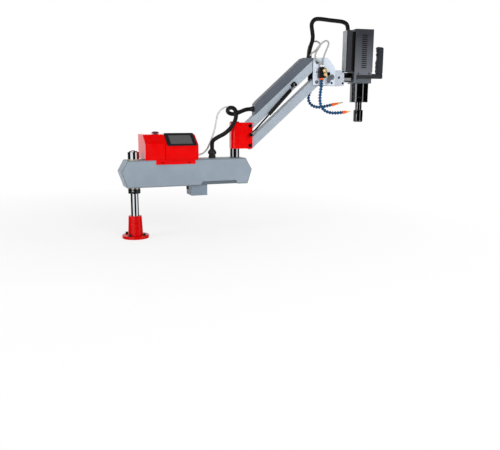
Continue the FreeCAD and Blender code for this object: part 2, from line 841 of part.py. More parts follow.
# Tray that closes the housing below, with the servo drive standing on it
node("control_base", box("housing_left + housing_wall + tray_inset", "housing_front + 2 * housing_wall", "beam_top",
                         "housing_right - housing_wall - tray_inset", "housing_back - housing_wall - tray_inset",
                         "beam_top + tray_thickness"))
drive_foot = "beam_top + tray_thickness"
drive = box("drive_left", "drive_front", drive_foot, "drive_right", "drive_back", drive_foot + " + drive_height")
fin_pitch = "((drive_right - drive_left) / drive_fin_count)"
grooves = [box("drive_left + (%d + 0.5) * %s - drive_fin_width / 2" % (i, fin_pitch),
               "drive_back - drive_fin_depth", drive_foot + " + drive_fin_depth",
               "drive_left + (%d + 0.5) * %s + drive_fin_width / 2" % (i, fin_pitch),
               "drive_back + cut_overrun", drive_foot + " + drive_height + cut_overrun")
           for i in range(int(value("drive_fin_count")))]
node("servo_drive", cut(drive, *grooves))

# Screen on the sloping face: a bezel with a window and the glass in it
slope_angle = math.degrees(math.atan(value(slope)))
nose_level = value("housing_height - (housing_brow - (%s)) * %s" % (right_front, slope))
screen_frame = FreeCAD.Placement(Vector(0, value(right_front), nose_level), FreeCAD.Rotation(Vector(1, 0, 0), slope_angle))
bezel = new_body("screen_bezel")
bezel_pad = pad(bezel, rectangle(new_sketch(bezel, "XY_Plane"), "bezel_left", "bezel_foot", "bezel_right",
                                 "bezel_foot + bezel_length"), "bezel_height")
bezel_corners = [(x, y) for x in ("bezel_left", "bezel_right") for y in ("bezel_foot", "bezel_foot + bezel_length")]
dress(bezel, "Fillet", straight_edges(bezel_pad, 2, bezel_corners), "bezel_corner")
pocket(bezel, rectangle(new_sketch(bezel, "XY_Plane", "bezel_height"), "glass_left", "glass_foot", "glass_right",
                        "glass_foot + glass_length"), "bezel_height / 2")
node("screen_bezel", bezel, screen_frame)
node("screen_glass", box("glass_left + seat_clearance", "glass_foot + seat_clearance", "bezel_height / 2",
                         "glass_right - seat_clearance", "glass_foot + glass_length - seat_clearance",
                         "bezel_height - glass_recess"), screen_frame)

# Emergency stop on the left module
node("estop_collar", cut(cylinder("estop_collar_diameter", "estop_collar_height", "estop_place_x", "estop_place_y",
                                  "housing_height"),
                         cylinder("estop_stem_diameter + 2 * running_clearance", "estop_collar_height",
                                  "estop_place_x", "estop_place_y", "housing_height")))
button_foot = "estop_collar_height + estop_travel + air_gap"
skirt_foot = "estop_travel + air_gap"
estop = turned("estop_button", [
    ("0", "-estop_stem_length"),
    ("estop_stem_diameter / 2", "-estop_stem_length"),
    ("estop_stem_diameter / 2", button_foot),
    ("estop_head_diameter / 2 - estop_skirt_wall", button_foot),
    ("estop_head_diameter / 2 - estop_skirt_wall", skirt_foot),
    ("estop_head_diameter / 2", skirt_foot),
    ("estop_head_diameter / 2", button_foot + " + estop_head_height - estop_head_round"),
    ("estop_head_diameter / 2 - estop_head_round", button_foot + " + estop_head_height"),
    ("0", button_foot + " + estop_head_height")])
estop_place = FreeCAD.Placement(Vector(value("estop_place_x"), value("estop_place_y"), value("housing_height")), FreeCAD.Rotation())
node("estop_button", estop, estop_place)


def gland(flange, dome, bore, flange_height, height):
    # hexagonal foot, waisted nut and rounded dome, open for the conduit
    return cut(joined(
        hexagon(flange, flange_height),
        cylinder("(%s) * 0.9" % dome, "(%s) * 0.7" % height),
        cone(dome, "(%s) * 0.82" % dome, "(%s) * 0.4" % height, z="(%s) * 0.6" % height)),
        cylinder(bore, "(%s) + cut_overrun" % height))


# Conduit gland and air port of the beam
beam_gland = gland("gland_diameter", "gland_diameter * 0.92", "conduit_diameter + 2 * seat_clearance",
                   "gland_flange_height", "gland_height")
beam_gland.Placement = FreeCAD.Placement(Vector(value("gland_place_x"), value("gland_place_y"), value("beam_top")), FreeCAD.Rotation())
air_port = cut(cylinder("air_port_diameter", "air_port_length", "housing_right", "air_port_place_y", "air_port_level", "x"),
               cylinder("air_tube_diameter + 2 * seat_clearance", "air_port_length", "housing_right",
                        "air_port_place_y", "air_port_level", "x"))
node("beam_glands", group(beam_gland, air_port))

# Elbow bracket: a block round the post, slotted for the links
bracket = new_body("elbow_bracket")
half_bracket = "bracket_width / 2"
bracket_pad = pad(bracket, rectangle(new_sketch(bracket, "XY_Plane", "bracket_bottom"), "bracket_left", minus(half_bracket),
                                     "bracket_right", half_bracket), "bracket_top - bracket_bottom")
dress(bracket, "Fillet", straight_edges(bracket_pad, 2, [("bracket_left", minus(half_bracket)),
                                                          ("bracket_left", half_bracket)]), "bracket_round")
slot_half = "link_width / 2 + link_side_gap"
pocket(bracket, rectangle(new_sketch(bracket, "XY_Plane", "bracket_top"), "bracket_slot_root", minus(slot_half),
                          "bracket_right + cut_overrun", slot_half), "bracket_top - bracket_bottom")
pocket(bracket, circle(new_sketch(bracket, "XY_Plane", "bracket_top"), "0", "0",
                       "post_journal + 2 * elbow_bush_wall + 4 * seat_clearance"), "bracket_top - bracket_bottom")
pivot_holes = new_sketch(bracket, "XZ_Plane")
for level in ("upper_pivot_height", "lower_pivot_height"):
    circle(pivot_holes, "pivot_reach", level, "pin_diameter + 2 * seat_clearance")
circle(pivot_holes, "pivot_reach", "strut_pivot_height", "strut_stud_diameter + 2 * seat_clearance")
pocket(bracket, pivot_holes)
node("elbow_bracket", bracket, arm)

elbow_bush_outer = "post_journal + 2 * elbow_bush_wall + 2 * seat_clearance"
elbow_bush_inner = "post_journal + 2 * running_clearance"
node("elbow_bushes", group(
    ring(elbow_bush_outer, elbow_bush_inner, "elbow_bush_length", z="bracket_bottom"),
    ring(elbow_bush_outer, elbow_bush_inner, "elbow_bush_length", z="bracket_top - elbow_bush_length")), arm)


def pivot_pin(reach, level, half_width):
    # a cross pin with a flat head on the near side and a retaining ring on the far side
    near = minus(half_width)
    return joined(cylinder("pin_diameter", "2 * (%s) + pin_head_height" % half_width, reach, near, level, "y"),
                  cylinder("pin_head_diameter", "pin_head_height", reach, near, level, "-y"),
                  cylinder("pin_head_diameter", "pin_head_height / 2", reach, half_width, level, "y"))


cheek = "bracket_width / 2 - (%s)" % slot_half
stud_gap = "strut_offset - strut_eye_width / 2 - air_gap"
strut_stud = joined(
    cylinder("strut_stud_diameter", "bracket_width / 2 - (%s)" % slot_half, "pivot_reach", minus(slot_half),
             "strut_pivot_height", "-y"),
    cylinder("strut_boss_diameter", "(%s) - bracket_width / 2" % stud_gap, "pivot_reach", minus(half_bracket),
             "strut_pivot_height", "-y"))
node("elbow_pins", group(pivot_pin("pivot_reach", "upper_pivot_height", half_bracket),
                         pivot_pin("pivot_reach", "lower_pivot_height", half_bracket), strut_stud), arm)


# Links: rectangular tubes with rounded ends, cross hubs and bronze bushes
def link(label, frame):
    body = new_body(label)
    half = "link_height / 2"
    pad(body, rectangle(new_sketch(body, "XZ_Plane"), "0", minus(half), "link_length", half), "link_width", symmetric=True)
    for end in ("0", "link_length"):
        pad(body, circle(new_sketch(body, "XZ_Plane"), end, "0", "link_height"), "link_width", symmetric=True)
    inner = "link_height / 2 - link_wall"
    pocket(body, rectangle(new_sketch(body, "XZ_Plane"), "-link_height / 2 - cut_overrun", minus(inner),
                           "link_length + link_height / 2 + cut_overrun", inner),
           "link_width - 2 * link_wall", symmetric=True)
    hubs = new_sketch(body, "XZ_Plane")
    bores = new_sketch(body, "XZ_Plane")
    for end in ("0", "link_length"):
        circle(hubs, end, "0", "link_hub_diameter")
        circle(bores, end, "0", "pin_diameter + 2 * link_bush_wall + 2 * running_clearance + 2 * seat_clearance")
    pad(body, hubs, "link_width - link_wall", symmetric=True)
    pocket(body, bores)
    node(label, body, frame)


def link_bushes(label, frame):
    outer = "pin_diameter + 2 * link_bush_wall + 2 * running_clearance"
    inner = "pin_diameter + 2 * running_clearance"
    node(label, group(*[ring(outer, inner, "link_bush_length", end, start, "0", "y")
                        for end in ("0", "link_length")
                        for start in ("-link_width / 2", "link_width / 2 - link_bush_length")]), frame)


link("lower_link", lower_frame)
link_bushes("lower_bushes", lower_frame)
link("upper_link", upper_frame)
link_bushes("upper_bushes", upper_frame)

# Cable cover: a folded channel on the upper link, its ends plumb and level at the rest angle
rise = "(cover_height - link_height / 2)"


def cover_side(inset, below):
    tail = "cover_foot + %s + %s * tan(arm_rise_angle)" % (inset, rise)
    brow = "cover_brow - %s" % inset
    top = "cover_height - %s" % inset
    return [
        ("cover_foot + %s" % inset, "link_height / 2 - (%s)" % below),
        ("cover_brow - %s + %s / tan(arm_rise_angle)" % (inset, rise), "link_height / 2 - (%s)" % below),
        (brow, top),
        (tail + " + cover_nose_cut", top),
        (tail, top + " - cover_nose_cut / 8")]


cover = new_body("cable_cover")
pad(cover, outline(new_sketch(cover, "XZ_Plane"), cover_side("0", "0")), "link_width", symmetric=True)
pocket(cover, outline(new_sketch(cover, "XZ_Plane"), cover_side("cover_wall * 1.4", "cut_overrun")),
       "link_width - 2 * cover_wall", symmetric=True)
lower_gland_spot = ("cover_foot + lower_gland_drop * tan(arm_rise_angle)", "link_height / 2 + lower_gland_drop")
upper_gland_spot = ("cover_brow + upper_gland_back", "cover_height - upper_gland_back * tan(arm_rise_angle)")
gland_turns = (FreeCAD.Rotation(Vector(0, 1, 0), -90 + value("arm_rise_angle")), FreeCAD.Rotation(Vector(0, 1, 0), value("arm_rise_angle")))
gland_places = [FreeCAD.Placement(Vector(value(spot[0]), 0, value(spot[1])), turn)
                for spot, turn in zip((lower_gland_spot, upper_gland_spot), gland_turns)]
cover_holes = []
for spot in gland_places:
    hole = cylinder("conduit_diameter", "4 * cover_wall")
    hole.Placement = spot * FreeCAD.Placement(Vector(0, 0, -value("3 * cover_wall")), FreeCAD.Rotation())
    cover_holes.append(hole)
node("cable_cover", cut(cover, *cover_holes), upper_frame)
tube_ports = [(gland_places[0], 1), (gland_places[1], -1), (gland_places[1], 1)]
cover_glands = []
for spot, side in tube_ports:
    port = cut(cylinder("tube_port_diameter", "tube_port_height"),
               cylinder("air_tube_diameter + 2 * seat_clearance", "tube_port_height"))
    port.Placement = spot * FreeCAD.Placement(Vector(0, side * value("tube_port_offset"), 0), FreeCAD.Rotation())
    cover_glands.append(port)
for spot in gland_places:
    fitting = gland("cover_gland_diameter * 1.1", "cover_gland_diameter", "conduit_diameter + 2 * seat_clearance",
                    "cover_gland_flange", "cover_gland_height")
    fitting.Placement = spot
    cover_glands.append(fitting)
node("cover_glands", group(*cover_glands), upper_frame)

# Gas strut outside the near cheek, between the elbow bracket and the upper link
strut_foot = Vector(value("pivot_reach"), -value("strut_offset"), value("strut_pivot_height"))
rise_angle = math.radians(value("arm_rise_angle"))
along_link = value("strut_eye_along")
below_link = value("strut_eye_below")
strut_head = Vector(value("pivot_reach") + along_link * math.cos(rise_angle) + below_link * math.sin(rise_angle),
                    -value("strut_offset"),
                    value("upper_pivot_height") + along_link * math.sin(rise_angle) - below_link * math.cos(rise_angle))
strut_length = strut_head.distanceToPoint(strut_foot)
strut_angle = math.degrees(math.atan2(strut_head.z - strut_foot.z, strut_head.x - strut_foot.x))
strut_frame = arm * FreeCAD.Placement(strut_foot, FreeCAD.Rotation(Vector(0, 1, 0), -strut_angle))
sheet.set("A%d" % (row + 1), "strut_length")
sheet.set("B%d" % (row + 1), repr(strut_length))
sheet.setAlias("B%d" % (row + 1), "strut_length")
dimensions["strut_length"] = strut_length
doc.recompute()
tube_end = "strut_tube_start + strut_tube_length"
bore = "strut_tube_diameter / 2 - strut_tube_wall"
guide = "strut_rod_diameter / 2 + running_clearance"
tube_skin = joined(
    cylinder("strut_tube_diameter", "strut_tube_length", "strut_tube_start", axis="x"),
    cylinder("strut_rod_diameter", "strut_length - (%s)" % tube_end, tube_end, axis="x"),
    cylinder("strut_eye_diameter", "strut_eye_width", "strut_length", "-strut_eye_width / 2", axis="y"))
tube_bore_start = "strut_tube_start + strut_guide_length"
node("strut_cylinder", cut(
    tube_skin,
    cylinder("2 * (%s)" % bore, "%s - 2 * strut_tube_wall - (%s)" % (tube_end, tube_bore_start), tube_bore_start, axis="x"),
    cylinder("2 * (%s)" % guide, "strut_guide_length + 2 * cut_overrun", "strut_tube_start - cut_overrun", axis="x"),
    cylinder("strut_stud_diameter + 2 * running_clearance", "2 * strut_eye_width", "strut_length",
             "-strut_eye_width", axis="y")), strut_frame)

fitting_start = "strut_boss_diameter / 2 + air_gap"
piston_start = "strut_tube_start + strut_guide_length + strut_piston_place"
node("strut_rod", joined(
    cylinder("strut_eye_diameter", "strut_eye_width", "0", "-strut_eye_width / 2", axis="y"),
    cylinder("strut_boss_diameter", "strut_lug_thickness", "0", "-strut_eye_width / 2", axis="-y"),
    cylinder("strut_fitting_diameter", "strut_fitting_length - (%s)" % fitting_start, fitting_start, axis="x"),
    cylinder("strut_rod_diameter", "%s - strut_fitting_length" % piston_start, "strut_fitting_length", axis="x"),
    cylinder("2 * (%s - running_clearance)" % bore, "strut_piston_length", piston_start, axis="x")), strut_frame)

# Lug and stud that carry the strut's upper eye on the link's side
lug = new_body("strut_bracket")
lug_face = "link_width / 2"
lug_pad = pad(lug, rectangle(new_sketch(lug, "XZ_Plane", lug_face), "strut_eye_along - strut_lug_length / 2",
                             "-strut_lug_width / 2", "strut_eye_along + strut_lug_length / 2", "strut_lug_width / 2"),
              "strut_lug_thickness")
lug_corners = [("strut_eye_along %s strut_lug_length / 2" % a, "%s strut_lug_width / 2" % b)
               for a in ("-", "+") for b in ("-", "")]
dress(lug, "Fillet", straight_edges(lug_pad, 1, lug_corners), "strut_lug_width / 3")
stud_start = "link_width / 2 + strut_lug_thickness"
pad(lug, circle(new_sketch(lug, "XZ_Plane", stud_start), "strut_eye_along", "-strut_eye_below", "strut_boss_diameter"),
    "strut_offset - strut_eye_width / 2 - air_gap - (%s)" % stud_start)
pad(lug, circle(new_sketch(lug, "XZ_Plane", stud_start), "strut_eye_along", "-strut_eye_below", "strut_stud_diameter"),
    "strut_offset + strut_eye_width / 2 + air_gap - (%s)" % stud_start)
pad(lug, circle(new_sketch(lug, "XZ_Plane", "strut_offset + strut_eye_width / 2 + air_gap"), "strut_eye_along",
                "-strut_eye_below", "strut_boss_diameter"), "strut_lug_thickness")
node("strut_bracket", lug, upper_frame)

# Front bracket: two side plates, the end block that clamps the tilt shaft, pins and stop bar
inner_face = "link_width / 2 + link_side_gap"
front_reach = "pivot_reach + link_length * cos(arm_rise_angle)"


def side_plate(label, side):
    body = new_body(label)
    start = inner_face if side < 0 else "-(%s) - plate_thickness" % inner_face
    pad(body, outline(new_sketch(body, "XZ_Plane", start), [
        ("plate_left", "plate_bottom"),
        ("plate_joint", "plate_bottom"),
        ("plate_joint", "plate_step_height"),
        ("plate_shoulder", "plate_top_right"),
        ("plate_left", "plate_top_left")]), "plate_thickness")
    if side < 0:
        pad(body, circle(new_sketch(body, "XZ_Plane", inner_face + " + plate_thickness"), "boss_place_x", "boss_height",
                         "boss_diameter"), "boss_thickness")
    holes = new_sketch(body, "XZ_Plane")
    for level in ("upper_pivot_height", "lower_pivot_height"):
        circle(holes, front_reach, "%s + link_length * sin(arm_rise_angle)" % level, "pin_diameter + 2 * seat_clearance")
    circle(holes, front_reach, stop_level, "stop_bar_core + 2 * seat_clearance")
    pocket(body, holes)
    node(label, body, arm)


stop_level = "(upper_pivot_height + lower_pivot_height) / 2 + link_length * sin(arm_rise_angle)"
side_plate("plate_near", -1)
side_plate("plate_far", 1)

outer_half = "(%s + plate_thickness)" % inner_face
front_block = new_body("end_block")
tongue_left = "plate_joint - block_tongue"
pad(front_block, rectangle(new_sketch(front_block, "XZ_Plane"), "plate_joint", "plate_bottom", "block_right", "block_top"),
    "2 * " + outer_half, symmetric=True)
pad(front_block, rectangle(new_sketch(front_block, "XZ_Plane"), tongue_left, "plate_bottom", "plate_joint", "block_top"),
    "2 * (%s - seat_clearance)" % inner_face, symmetric=True)
pocket(front_block, circle(new_sketch(front_block, "YZ_Plane", "block_right"), "0", "tilt_height",
                           "tilt_journal + 2 * running_clearance"), "block_right - journal_left + air_gap")
node("end_block", front_block, arm)

node("front_pins", group(*[
    pivot_pin(front_reach, "%s + link_length * sin(arm_rise_angle)" % level, outer_half)
    for level in ("upper_pivot_height", "lower_pivot_height")]), arm)
node("stop_bar", group(
    ring("stop_bar_diameter", "stop_bar_core + 2 * seat_clearance", "2 * (%s - seat_clearance)" % inner_face,
         front_reach, "-(%s - seat_clearance)" % inner_face, stop_level, "y"),
    cylinder("stop_bar_core", "2 * " + outer_half, front_reach, "-" + outer_half, stop_level, "y")), arm)

screw_head_length = "block_screw_head / 3"
screw_spots = [("block_right - block_screw_inset", "plate_bottom + block_screw_rise"),
               ("block_right - block_screw_inset", "block_top - block_screw_inset"),
               ("(plate_joint + block_right) / 2 - 2 * block_edge_bevel", "(plate_bottom + block_top) / 2"),
               ("boss_place_x", "plate_bottom + block_screw_rise")]
node("block_screws", group(*[
    cut(cylinder("block_screw_head", screw_head_length, x, near, z, axis),
        hexagon("block_screw_head / 2", screw_head_length, x, near, z, axis))
    for near, axis in (("-" + outer_half, "-y"), (outer_half, "y"))
    for x, z in screw_spots]), arm)


# Coolant valves on both plates: a block with two push-in ports and brass unions
def manifold(side):
    face = outer_half if side > 0 else "-" + outer_half
    out = face + (" + manifold_depth" if side > 0 else " - manifold_depth")
    low, high = (face, out) if side > 0 else (out, face)
    middle = "(%s + %s) / 2" % (face, out)
    block = box("manifold_left", low, "manifold_bottom", "manifold_right", high, "manifold_top")
    third = "(manifold_right - manifold_left) / 3"
    ports = [cylinder("port_diameter", "port_length", "manifold_left + %s * %d" % (third, i), middle, "manifold_top", "z")
             for i in (1, 2)]
    unions = [hexagon("brass_diameter", "brass_length", "manifold_right", middle, z, "x")
              for z in ("manifold_top - brass_diameter", "manifold_bottom + brass_diameter")]
    outlet = cylinder("hose_diameter * 1.15", "port_length", "(manifold_left + manifold_right) / 2", middle,
                      "manifold_bottom", "-z")
    return joined(block, outlet, *(ports + unions))


near_manifold = manifold(-1)
valve_y = "-" + outer_half
valve_boss = cut(cylinder("valve_hub_diameter * 1.6", "valve_hub_length", "valve_pivot_x", valve_y, "valve_pivot_z", "-y"),
                 cylinder("valve_hub_diameter / 2 + 2 * running_clearance", "valve_hub_length + cut_overrun",
                          "valve_pivot_x", valve_y, "valve_pivot_z", "-y"))
node("manifolds", group(near_manifold, manifold(1), valve_boss), arm)
lever_face = valve_y + " - valve_hub_length - running_clearance"
lever_low = "valve_pivot_z - lever_length"
node("valve_lever", joined(
    cylinder("valve_hub_diameter / 2", "valve_hub_length - air_gap", "valve_pivot_x", lever_face, "valve_pivot_z", "y"),
    cylinder("valve_hub_diameter", "lever_width", "valve_pivot_x", lever_face, "valve_pivot_z", "-y"),
    box("valve_pivot_x - lever_width / 2", lever_face + " - lever_width", lever_low, "valve_pivot_x + lever_width / 2",
        lever_face, "valve_pivot_z"),
    cylinder("lever_knob_diameter", "lever_width", "valve_pivot_x", lever_face, lever_low, "-y")), arm)


# Routes: straight runs joined by tangent arcs, points chosen by hand (x, y, z)
tube_sides = 12

def rounded_route(name, points):
    # edges of the route, each arc as large as its two runs allow
    spots = [Vector(*point) for point in points]
    edges = []
    start = spots[0]
    radii = []
    for before, corner, after in zip(spots, spots[1:], spots[2:]):
        into = (corner - before).normalize()
        away = (after - corner).normalize()
        half_turn = into.getAngle(away) / 2
        run = min((corner - before).Length, (after - corner).Length)
        radius = 0.45 * run / math.tan(half_turn)
        radii.append(radius)
        setback = 0.45 * run
        first = corner - into * setback
        last = corner + away * setback
        inward = (away - into).normalize()
        middle = corner + inward * (radius / math.cos(half_turn) - radius)
        if start.distanceToPoint(first) > 1e-6:
            edges.append(Part.LineSegment(start, first).toShape())
        edges.append(Part.Arc(first, middle, last).toShape())
        start = last
    edges.append(Part.LineSegment(start, spots[-1]).toShape())
    print("%s: length %.1f, least radius %.1f" % (name, sum(edge.Length for edge in edges), min(radii)))
    return edges


def section_corners(centre, direction, radius):
    # corners of a twelve-sided section across the route, the first one repeated at the end
    turn = FreeCAD.Rotation(Vector(0, 0, 1), direction)
    angles = [2 * math.pi * i / tube_sides for i in range(tube_sides + 1)]
    return [centre + turn.multVec(Vector(math.cos(angle), math.sin(angle), 0)) * radius for angle in angles]


def tube_along(name, points, diameter):
    edges = rounded_route(name, points)
    wire = Part.Wire(edges)
    ends = (Vector(*points[0]), Vector(*points[1]))
    section = Part.Face(Part.makePolygon(section_corners(ends[0], ends[1] - ends[0], diameter / 2)))
    solid = wire.makePipe(section)
    expected = section.Area * wire.Length
    print("%s: volume share of section times length %.4f" % (name, solid.Volume / expected))
    return solid


def feature(label, shape, frame=None):
    result = doc.addObject("Part::Feature", label)
    result.Shape = shape
    return node(label, result, frame)


# Conduit from the beam's gland, looped in front of the bracket, to the cable cover
upper_link_in_arm = arm.inverse() * upper_frame


def leaving(frame, side, height):
    # a point on the axis of a gland (side 0) or of a tube port beside it
    return tuple(frame.multVec(Vector(0, side * value("tube_port_offset"), value(height))))


conduit_lower_route = [
    (464, 12, 468),
    (464, 12, 502),
    (462, 6, 534),
    (484, -20, 556),
    (522, -48, 578),
    (562, -66, 620),
    (582, -68, 664),
    (586, -60, 700),
    (580, -44, 722),
    (566, -14, 727),
    (560, 16, 712),
    (574, 34, 694),
    (606, 28, 686),
    (640, 8, 702)]
conduit_lower_route += [leaving(upper_frame * gland_places[0], 0, height)
                        for height in ("2 * cover_gland_height", "cover_wall")]
feature("conduit_lower", tube_along("conduit_lower", conduit_lower_route, value("conduit_diameter")))

# Conduit from the cable cover over to the head
conduit_upper_route = [leaving(upper_link_in_arm * gland_places[1], 0, height)
                       for height in ("cover_wall", "1.6 * cover_gland_height")]
conduit_upper_route += [
    (454, 0, 1082),
    (469, 0, 1126),
    (461, 0, 1174),
    (455, 0, 1208),
    (474, 0, 1236),
    (512, 0, 1238),
    (560, 0, 1233),
    (612, 0, 1230),
    (652, -6, 1226),
    (678, -14, 1208),
    (678, -14, 1176)]
feature("conduit_upper", tube_along("conduit_upper", conduit_upper_route, value("conduit_diameter")), arm)

# Clear air tubes
air_tube_lower_route = [
    (366, 60, 451),
    (408, 60, 451),
    (443, 60, 474),
    (465, 60, 513),
    (483, 60, 558),
    (500, 60, 606),
    (508, 60, 658),
    (522, 60, 702),
    (556, 58, 728),
    (590, 50, 730),
    (620, 42, 712),
    (648, 32, 706)]
air_tube_lower_route += [leaving(upper_frame * gland_places[0], 1, height)
                         for height in ("2.4 * tube_port_height", "cover_wall")]
feature("air_tube_lower", tube_along("air_tube_lower", air_tube_lower_route, value("air_tube_diameter")))

manifold_middle = value("%s + manifold_depth / 2" % outer_half)


def port_spot(number, height):
    # a point above one of the near manifold's two ports
    x = value("manifold_left + (manifold_right - manifold_left) / 3 * %d" % number)
    return (x, -manifold_middle, value("manifold_top + port_length + (%s)" % height))


air_tube_a_route = [leaving(upper_link_in_arm * gland_places[1], -1, height)
                    for height in ("cover_wall", "2 * tube_port_height")]
air_tube_a_route += [
    (472, -31, 1052),
    (490, -36, 1076),
    (508, -43, 1098),
    (530, -54, 1113),
    (546, -61, 1101),
    (539, -65, 1078),
    (526, -66, 1050),
    (515, -66, 1022),
    port_spot(2, "2 * port_length"),
    port_spot(2, "0")]
air_tube_b_route = [leaving(upper_link_in_arm * gland_places[1], 1, height)
                    for height in ("cover_wall", "2 * tube_port_height")]
air_tube_b_route += [
    (448, 28, 1066),
    (455, 26, 1092),
    (474, 21, 1110),
    (494, 10, 1114),
    (508, -4, 1103),
    (508, -16, 1087),
    (497, -27, 1073),
    (483, -40, 1057),
    (468, -55, 1041),
    (461, -65, 1017),
    (474, -67, 996),
    port_spot(1, "2 * port_length"),
    port_spot(1, "0")]
upper_tubes = Part.makeCompound([
    tube_along("air_tube_a", air_tube_a_route, value("air_tube_diameter")),
    tube_along("air_tube_b", air_tube_b_route, value("air_tube_diameter"))])
feature("air_tubes_upper", upper_tubes, arm)


# Coolant hoses: a chain of ribbed segments along each route, with its bore
def ribbed_hose(name, points):
    edges = rounded_route(name, points)
    path = Part.Wire(edges)
    count = int(path.Length / value("hose_rib_pitch"))
    outer = value("hose_diameter")
    waist = value("hose_waist")
    shares = ((0.0, waist), (0.25, outer), (0.65, outer), (0.9, waist))
    stations = [((rib + share) / count, size) for rib in range(count) for share, size in shares] + [(1.0, waist)]
    steady = Vector(0, 1, 0)
    lengths = [edge.Length for edge in edges]

    def spot(share):
        left = share * path.Length
        for edge, length in zip(edges, lengths):
            if left <= length + 1e-9:
                where = edge.getParameterByLength(min(left, length))
                return edge.valueAt(where), edge.tangentAt(where)
            left -= length
        return edges[-1].valueAt(edges[-1].LastParameter), edges[-1].tangentAt(edges[-1].LastParameter)

    def loop(share, size):
        centre, direction = spot(share)
        frame = FreeCAD.Rotation(steady, Vector(0, 0, 0), direction, "ZXY")
        ring_shape = Part.Circle(Vector(0, 0, 0), Vector(0, 0, 1), size / 2).toShape()
        ring_shape.Placement = FreeCAD.Placement(centre, frame)
        return Part.Wire([ring_shape])

    skin = Part.makeLoft([loop(share, size) for share, size in stations], True, True)
    hollow = Part.makeLoft([loop(share, value("hose_bore")) for share, size in stations[::4]], True, True)
    return skin.cut(hollow)


hose_root_x = value("(manifold_left + manifold_right) / 2")
hose_root_z = value("manifold_bottom - port_length")
near_hose_route = [
    (hose_root_x, -manifold_middle, hose_root_z),
    (hose_root_x, -manifold_middle, hose_root_z - 27),
    (501, -manifold_middle - 6, 836),
    (495, -manifold_middle - 10, 806),
    (494, -manifold_middle - 12, 770),
    (499, -manifold_middle - 14, 740),
    (518, -manifold_middle - 16, 714),
    (550, -manifold_middle - 18, 700),
    (590, -manifold_middle - 19, 697),
    (634, -manifold_middle - 20, 702)]
far_hose_route = [
    (hose_root_x, manifold_middle, hose_root_z),
    (hose_root_x, manifold_middle, hose_root_z - 27),
    (488, manifold_middle + 5, 834),
    (472, manifold_middle + 8, 800),
    (474, manifold_middle + 10, 768),
    (494, manifold_middle + 12, 743),
    (528, manifold_middle + 14, 731),
    (564, manifold_middle + 15, 733),
    (598, manifold_middle + 16, 741),
    (626, manifold_middle + 16, 747)]
hoses = Part.makeCompound([ribbed_hose("near hose", near_hose_route), ribbed_hose("far hose", far_hose_route)])
feature("coolant_hoses", hoses, arm)


def nozzle(route, spout_length):
    # a cone with a step and a brass tip, carried on in the hose's last direction
    end = Vector(*route[-1])
    direction = (end - Vector(*route[-2])).normalize()
    body_end = end + direction * value("nozzle_length")
    root = value("hose_diameter") / 2
    tip = value("nozzle_tip_diameter") / 2
    shoulder = Part.makeCylinder(root, value("nozzle_length") / 2, end, direction)
    taper = Part.makeCone(root, tip * 1.5, value("nozzle_length") / 2, end + direction * (value("nozzle_length") / 2), direction)
    spout = Part.makeCone(tip * 1.2, tip / 2, value(spout_length), body_end, direction)
    return shoulder.fuse(taper).fuse(spout).removeSplitter()


feature("hose_nozzles", Part.makeCompound([nozzle(near_hose_route, "nozzle_tip_length"), nozzle(far_hose_route, "far_tip_length")]), arm)

# Tilt shaft: journal in the end block, barrel up to the gear block, which fits inside the motor cover
gear_length = "(cover_box_length - 2 * cover_box_wall - 2 * seat_clearance)"
gear_width = "(cover_box_width - 2 * cover_box_wall - 2 * seat_clearance)"
shaft = new_body("tilt_shaft")
revolve(shaft, outline(new_sketch(shaft, "XY_Plane"), [
    ("journal_left", "0"),
    ("journal_left", "tilt_journal / 2"),
    ("block_right + air_gap", "tilt_journal / 2"),
    ("block_right + air_gap", "barrel_diameter / 2"),
    ("head_reach - %s / 2" % gear_length, "barrel_diameter / 2"),
    ("head_reach - %s / 2" % gear_length, "0")]), "H_Axis")
node("tilt_shaft", shaft, arm * FreeCAD.Placement(Vector(0, 0, value("tilt_height")), FreeCAD.Rotation()))

# Gear block
gear = new_body("gear_block")
half_length = gear_length + " / 2"
half_width = gear_width + " / 2"
gear_pad = pad(gear, rectangle(new_sketch(gear, "XY_Plane", "gear_block_bottom"), minus(half_length), minus(half_width),
                               half_length, half_width), "gear_block_top - gear_block_bottom")
gear_corners = [(x, y) for x in (minus(half_length), half_length) for y in (minus(half_width), half_width)]
dress(gear, "Chamfer", straight_edges(gear_pad, 2, gear_corners), "gear_block_bevel")
pocket(gear, circle(new_sketch(gear, "XY_Plane", "gear_block_top"), "0", "0", "encoder_side"), "louvre_pitch")
head = arm * FreeCAD.Placement(Vector(value("head_reach"), 0, 0), FreeCAD.Rotation())
node("gear_block", gear, head)

# Motor cover: a sheet box open below, with two rows of louvres and a tab in front of the gear block
hood = new_body("motor_cover")
half_length = "cover_box_length / 2"
half_width = "cover_box_width / 2"
hood_pad = pad(hood, rectangle(new_sketch(hood, "XY_Plane", "gear_block_top"), minus(half_length), minus(half_width),
                               half_length, half_width), "cover_box_top - gear_block_top")
hood_corners = [(x, y) for x in (minus(half_length), half_length) for y in (minus(half_width), half_width)]
dress(hood, "Fillet", straight_edges(hood_pad, 2, hood_corners), "cover_box_round")
pocket(hood, rectangle(new_sketch(hood, "XY_Plane", "cover_box_top - cover_box_wall"),
                       "-cover_box_length / 2 + cover_box_wall", "-cover_box_width / 2 + cover_box_wall",
                       "cover_box_length / 2 - cover_box_wall", "cover_box_width / 2 - cover_box_wall"),
       "cover_box_top - gear_block_top")
for start in (half_width + " - cover_box_wall", "-cover_box_width / 2"):
    pad(hood, rectangle(new_sketch(hood, "XZ_Plane", start), "-cover_tab_length / 2", "gear_block_top - cover_tab_drop",
                        "cover_tab_length / 2", "gear_block_top + cover_box_wall"), "cover_box_wall")
louvre = pocket(hood, rectangle(new_sketch(hood, "XZ_Plane"), "-louvre_length / 2", "louvre_first - louvre_height / 2",
                                "louvre_length / 2", "louvre_first + louvre_height / 2"))
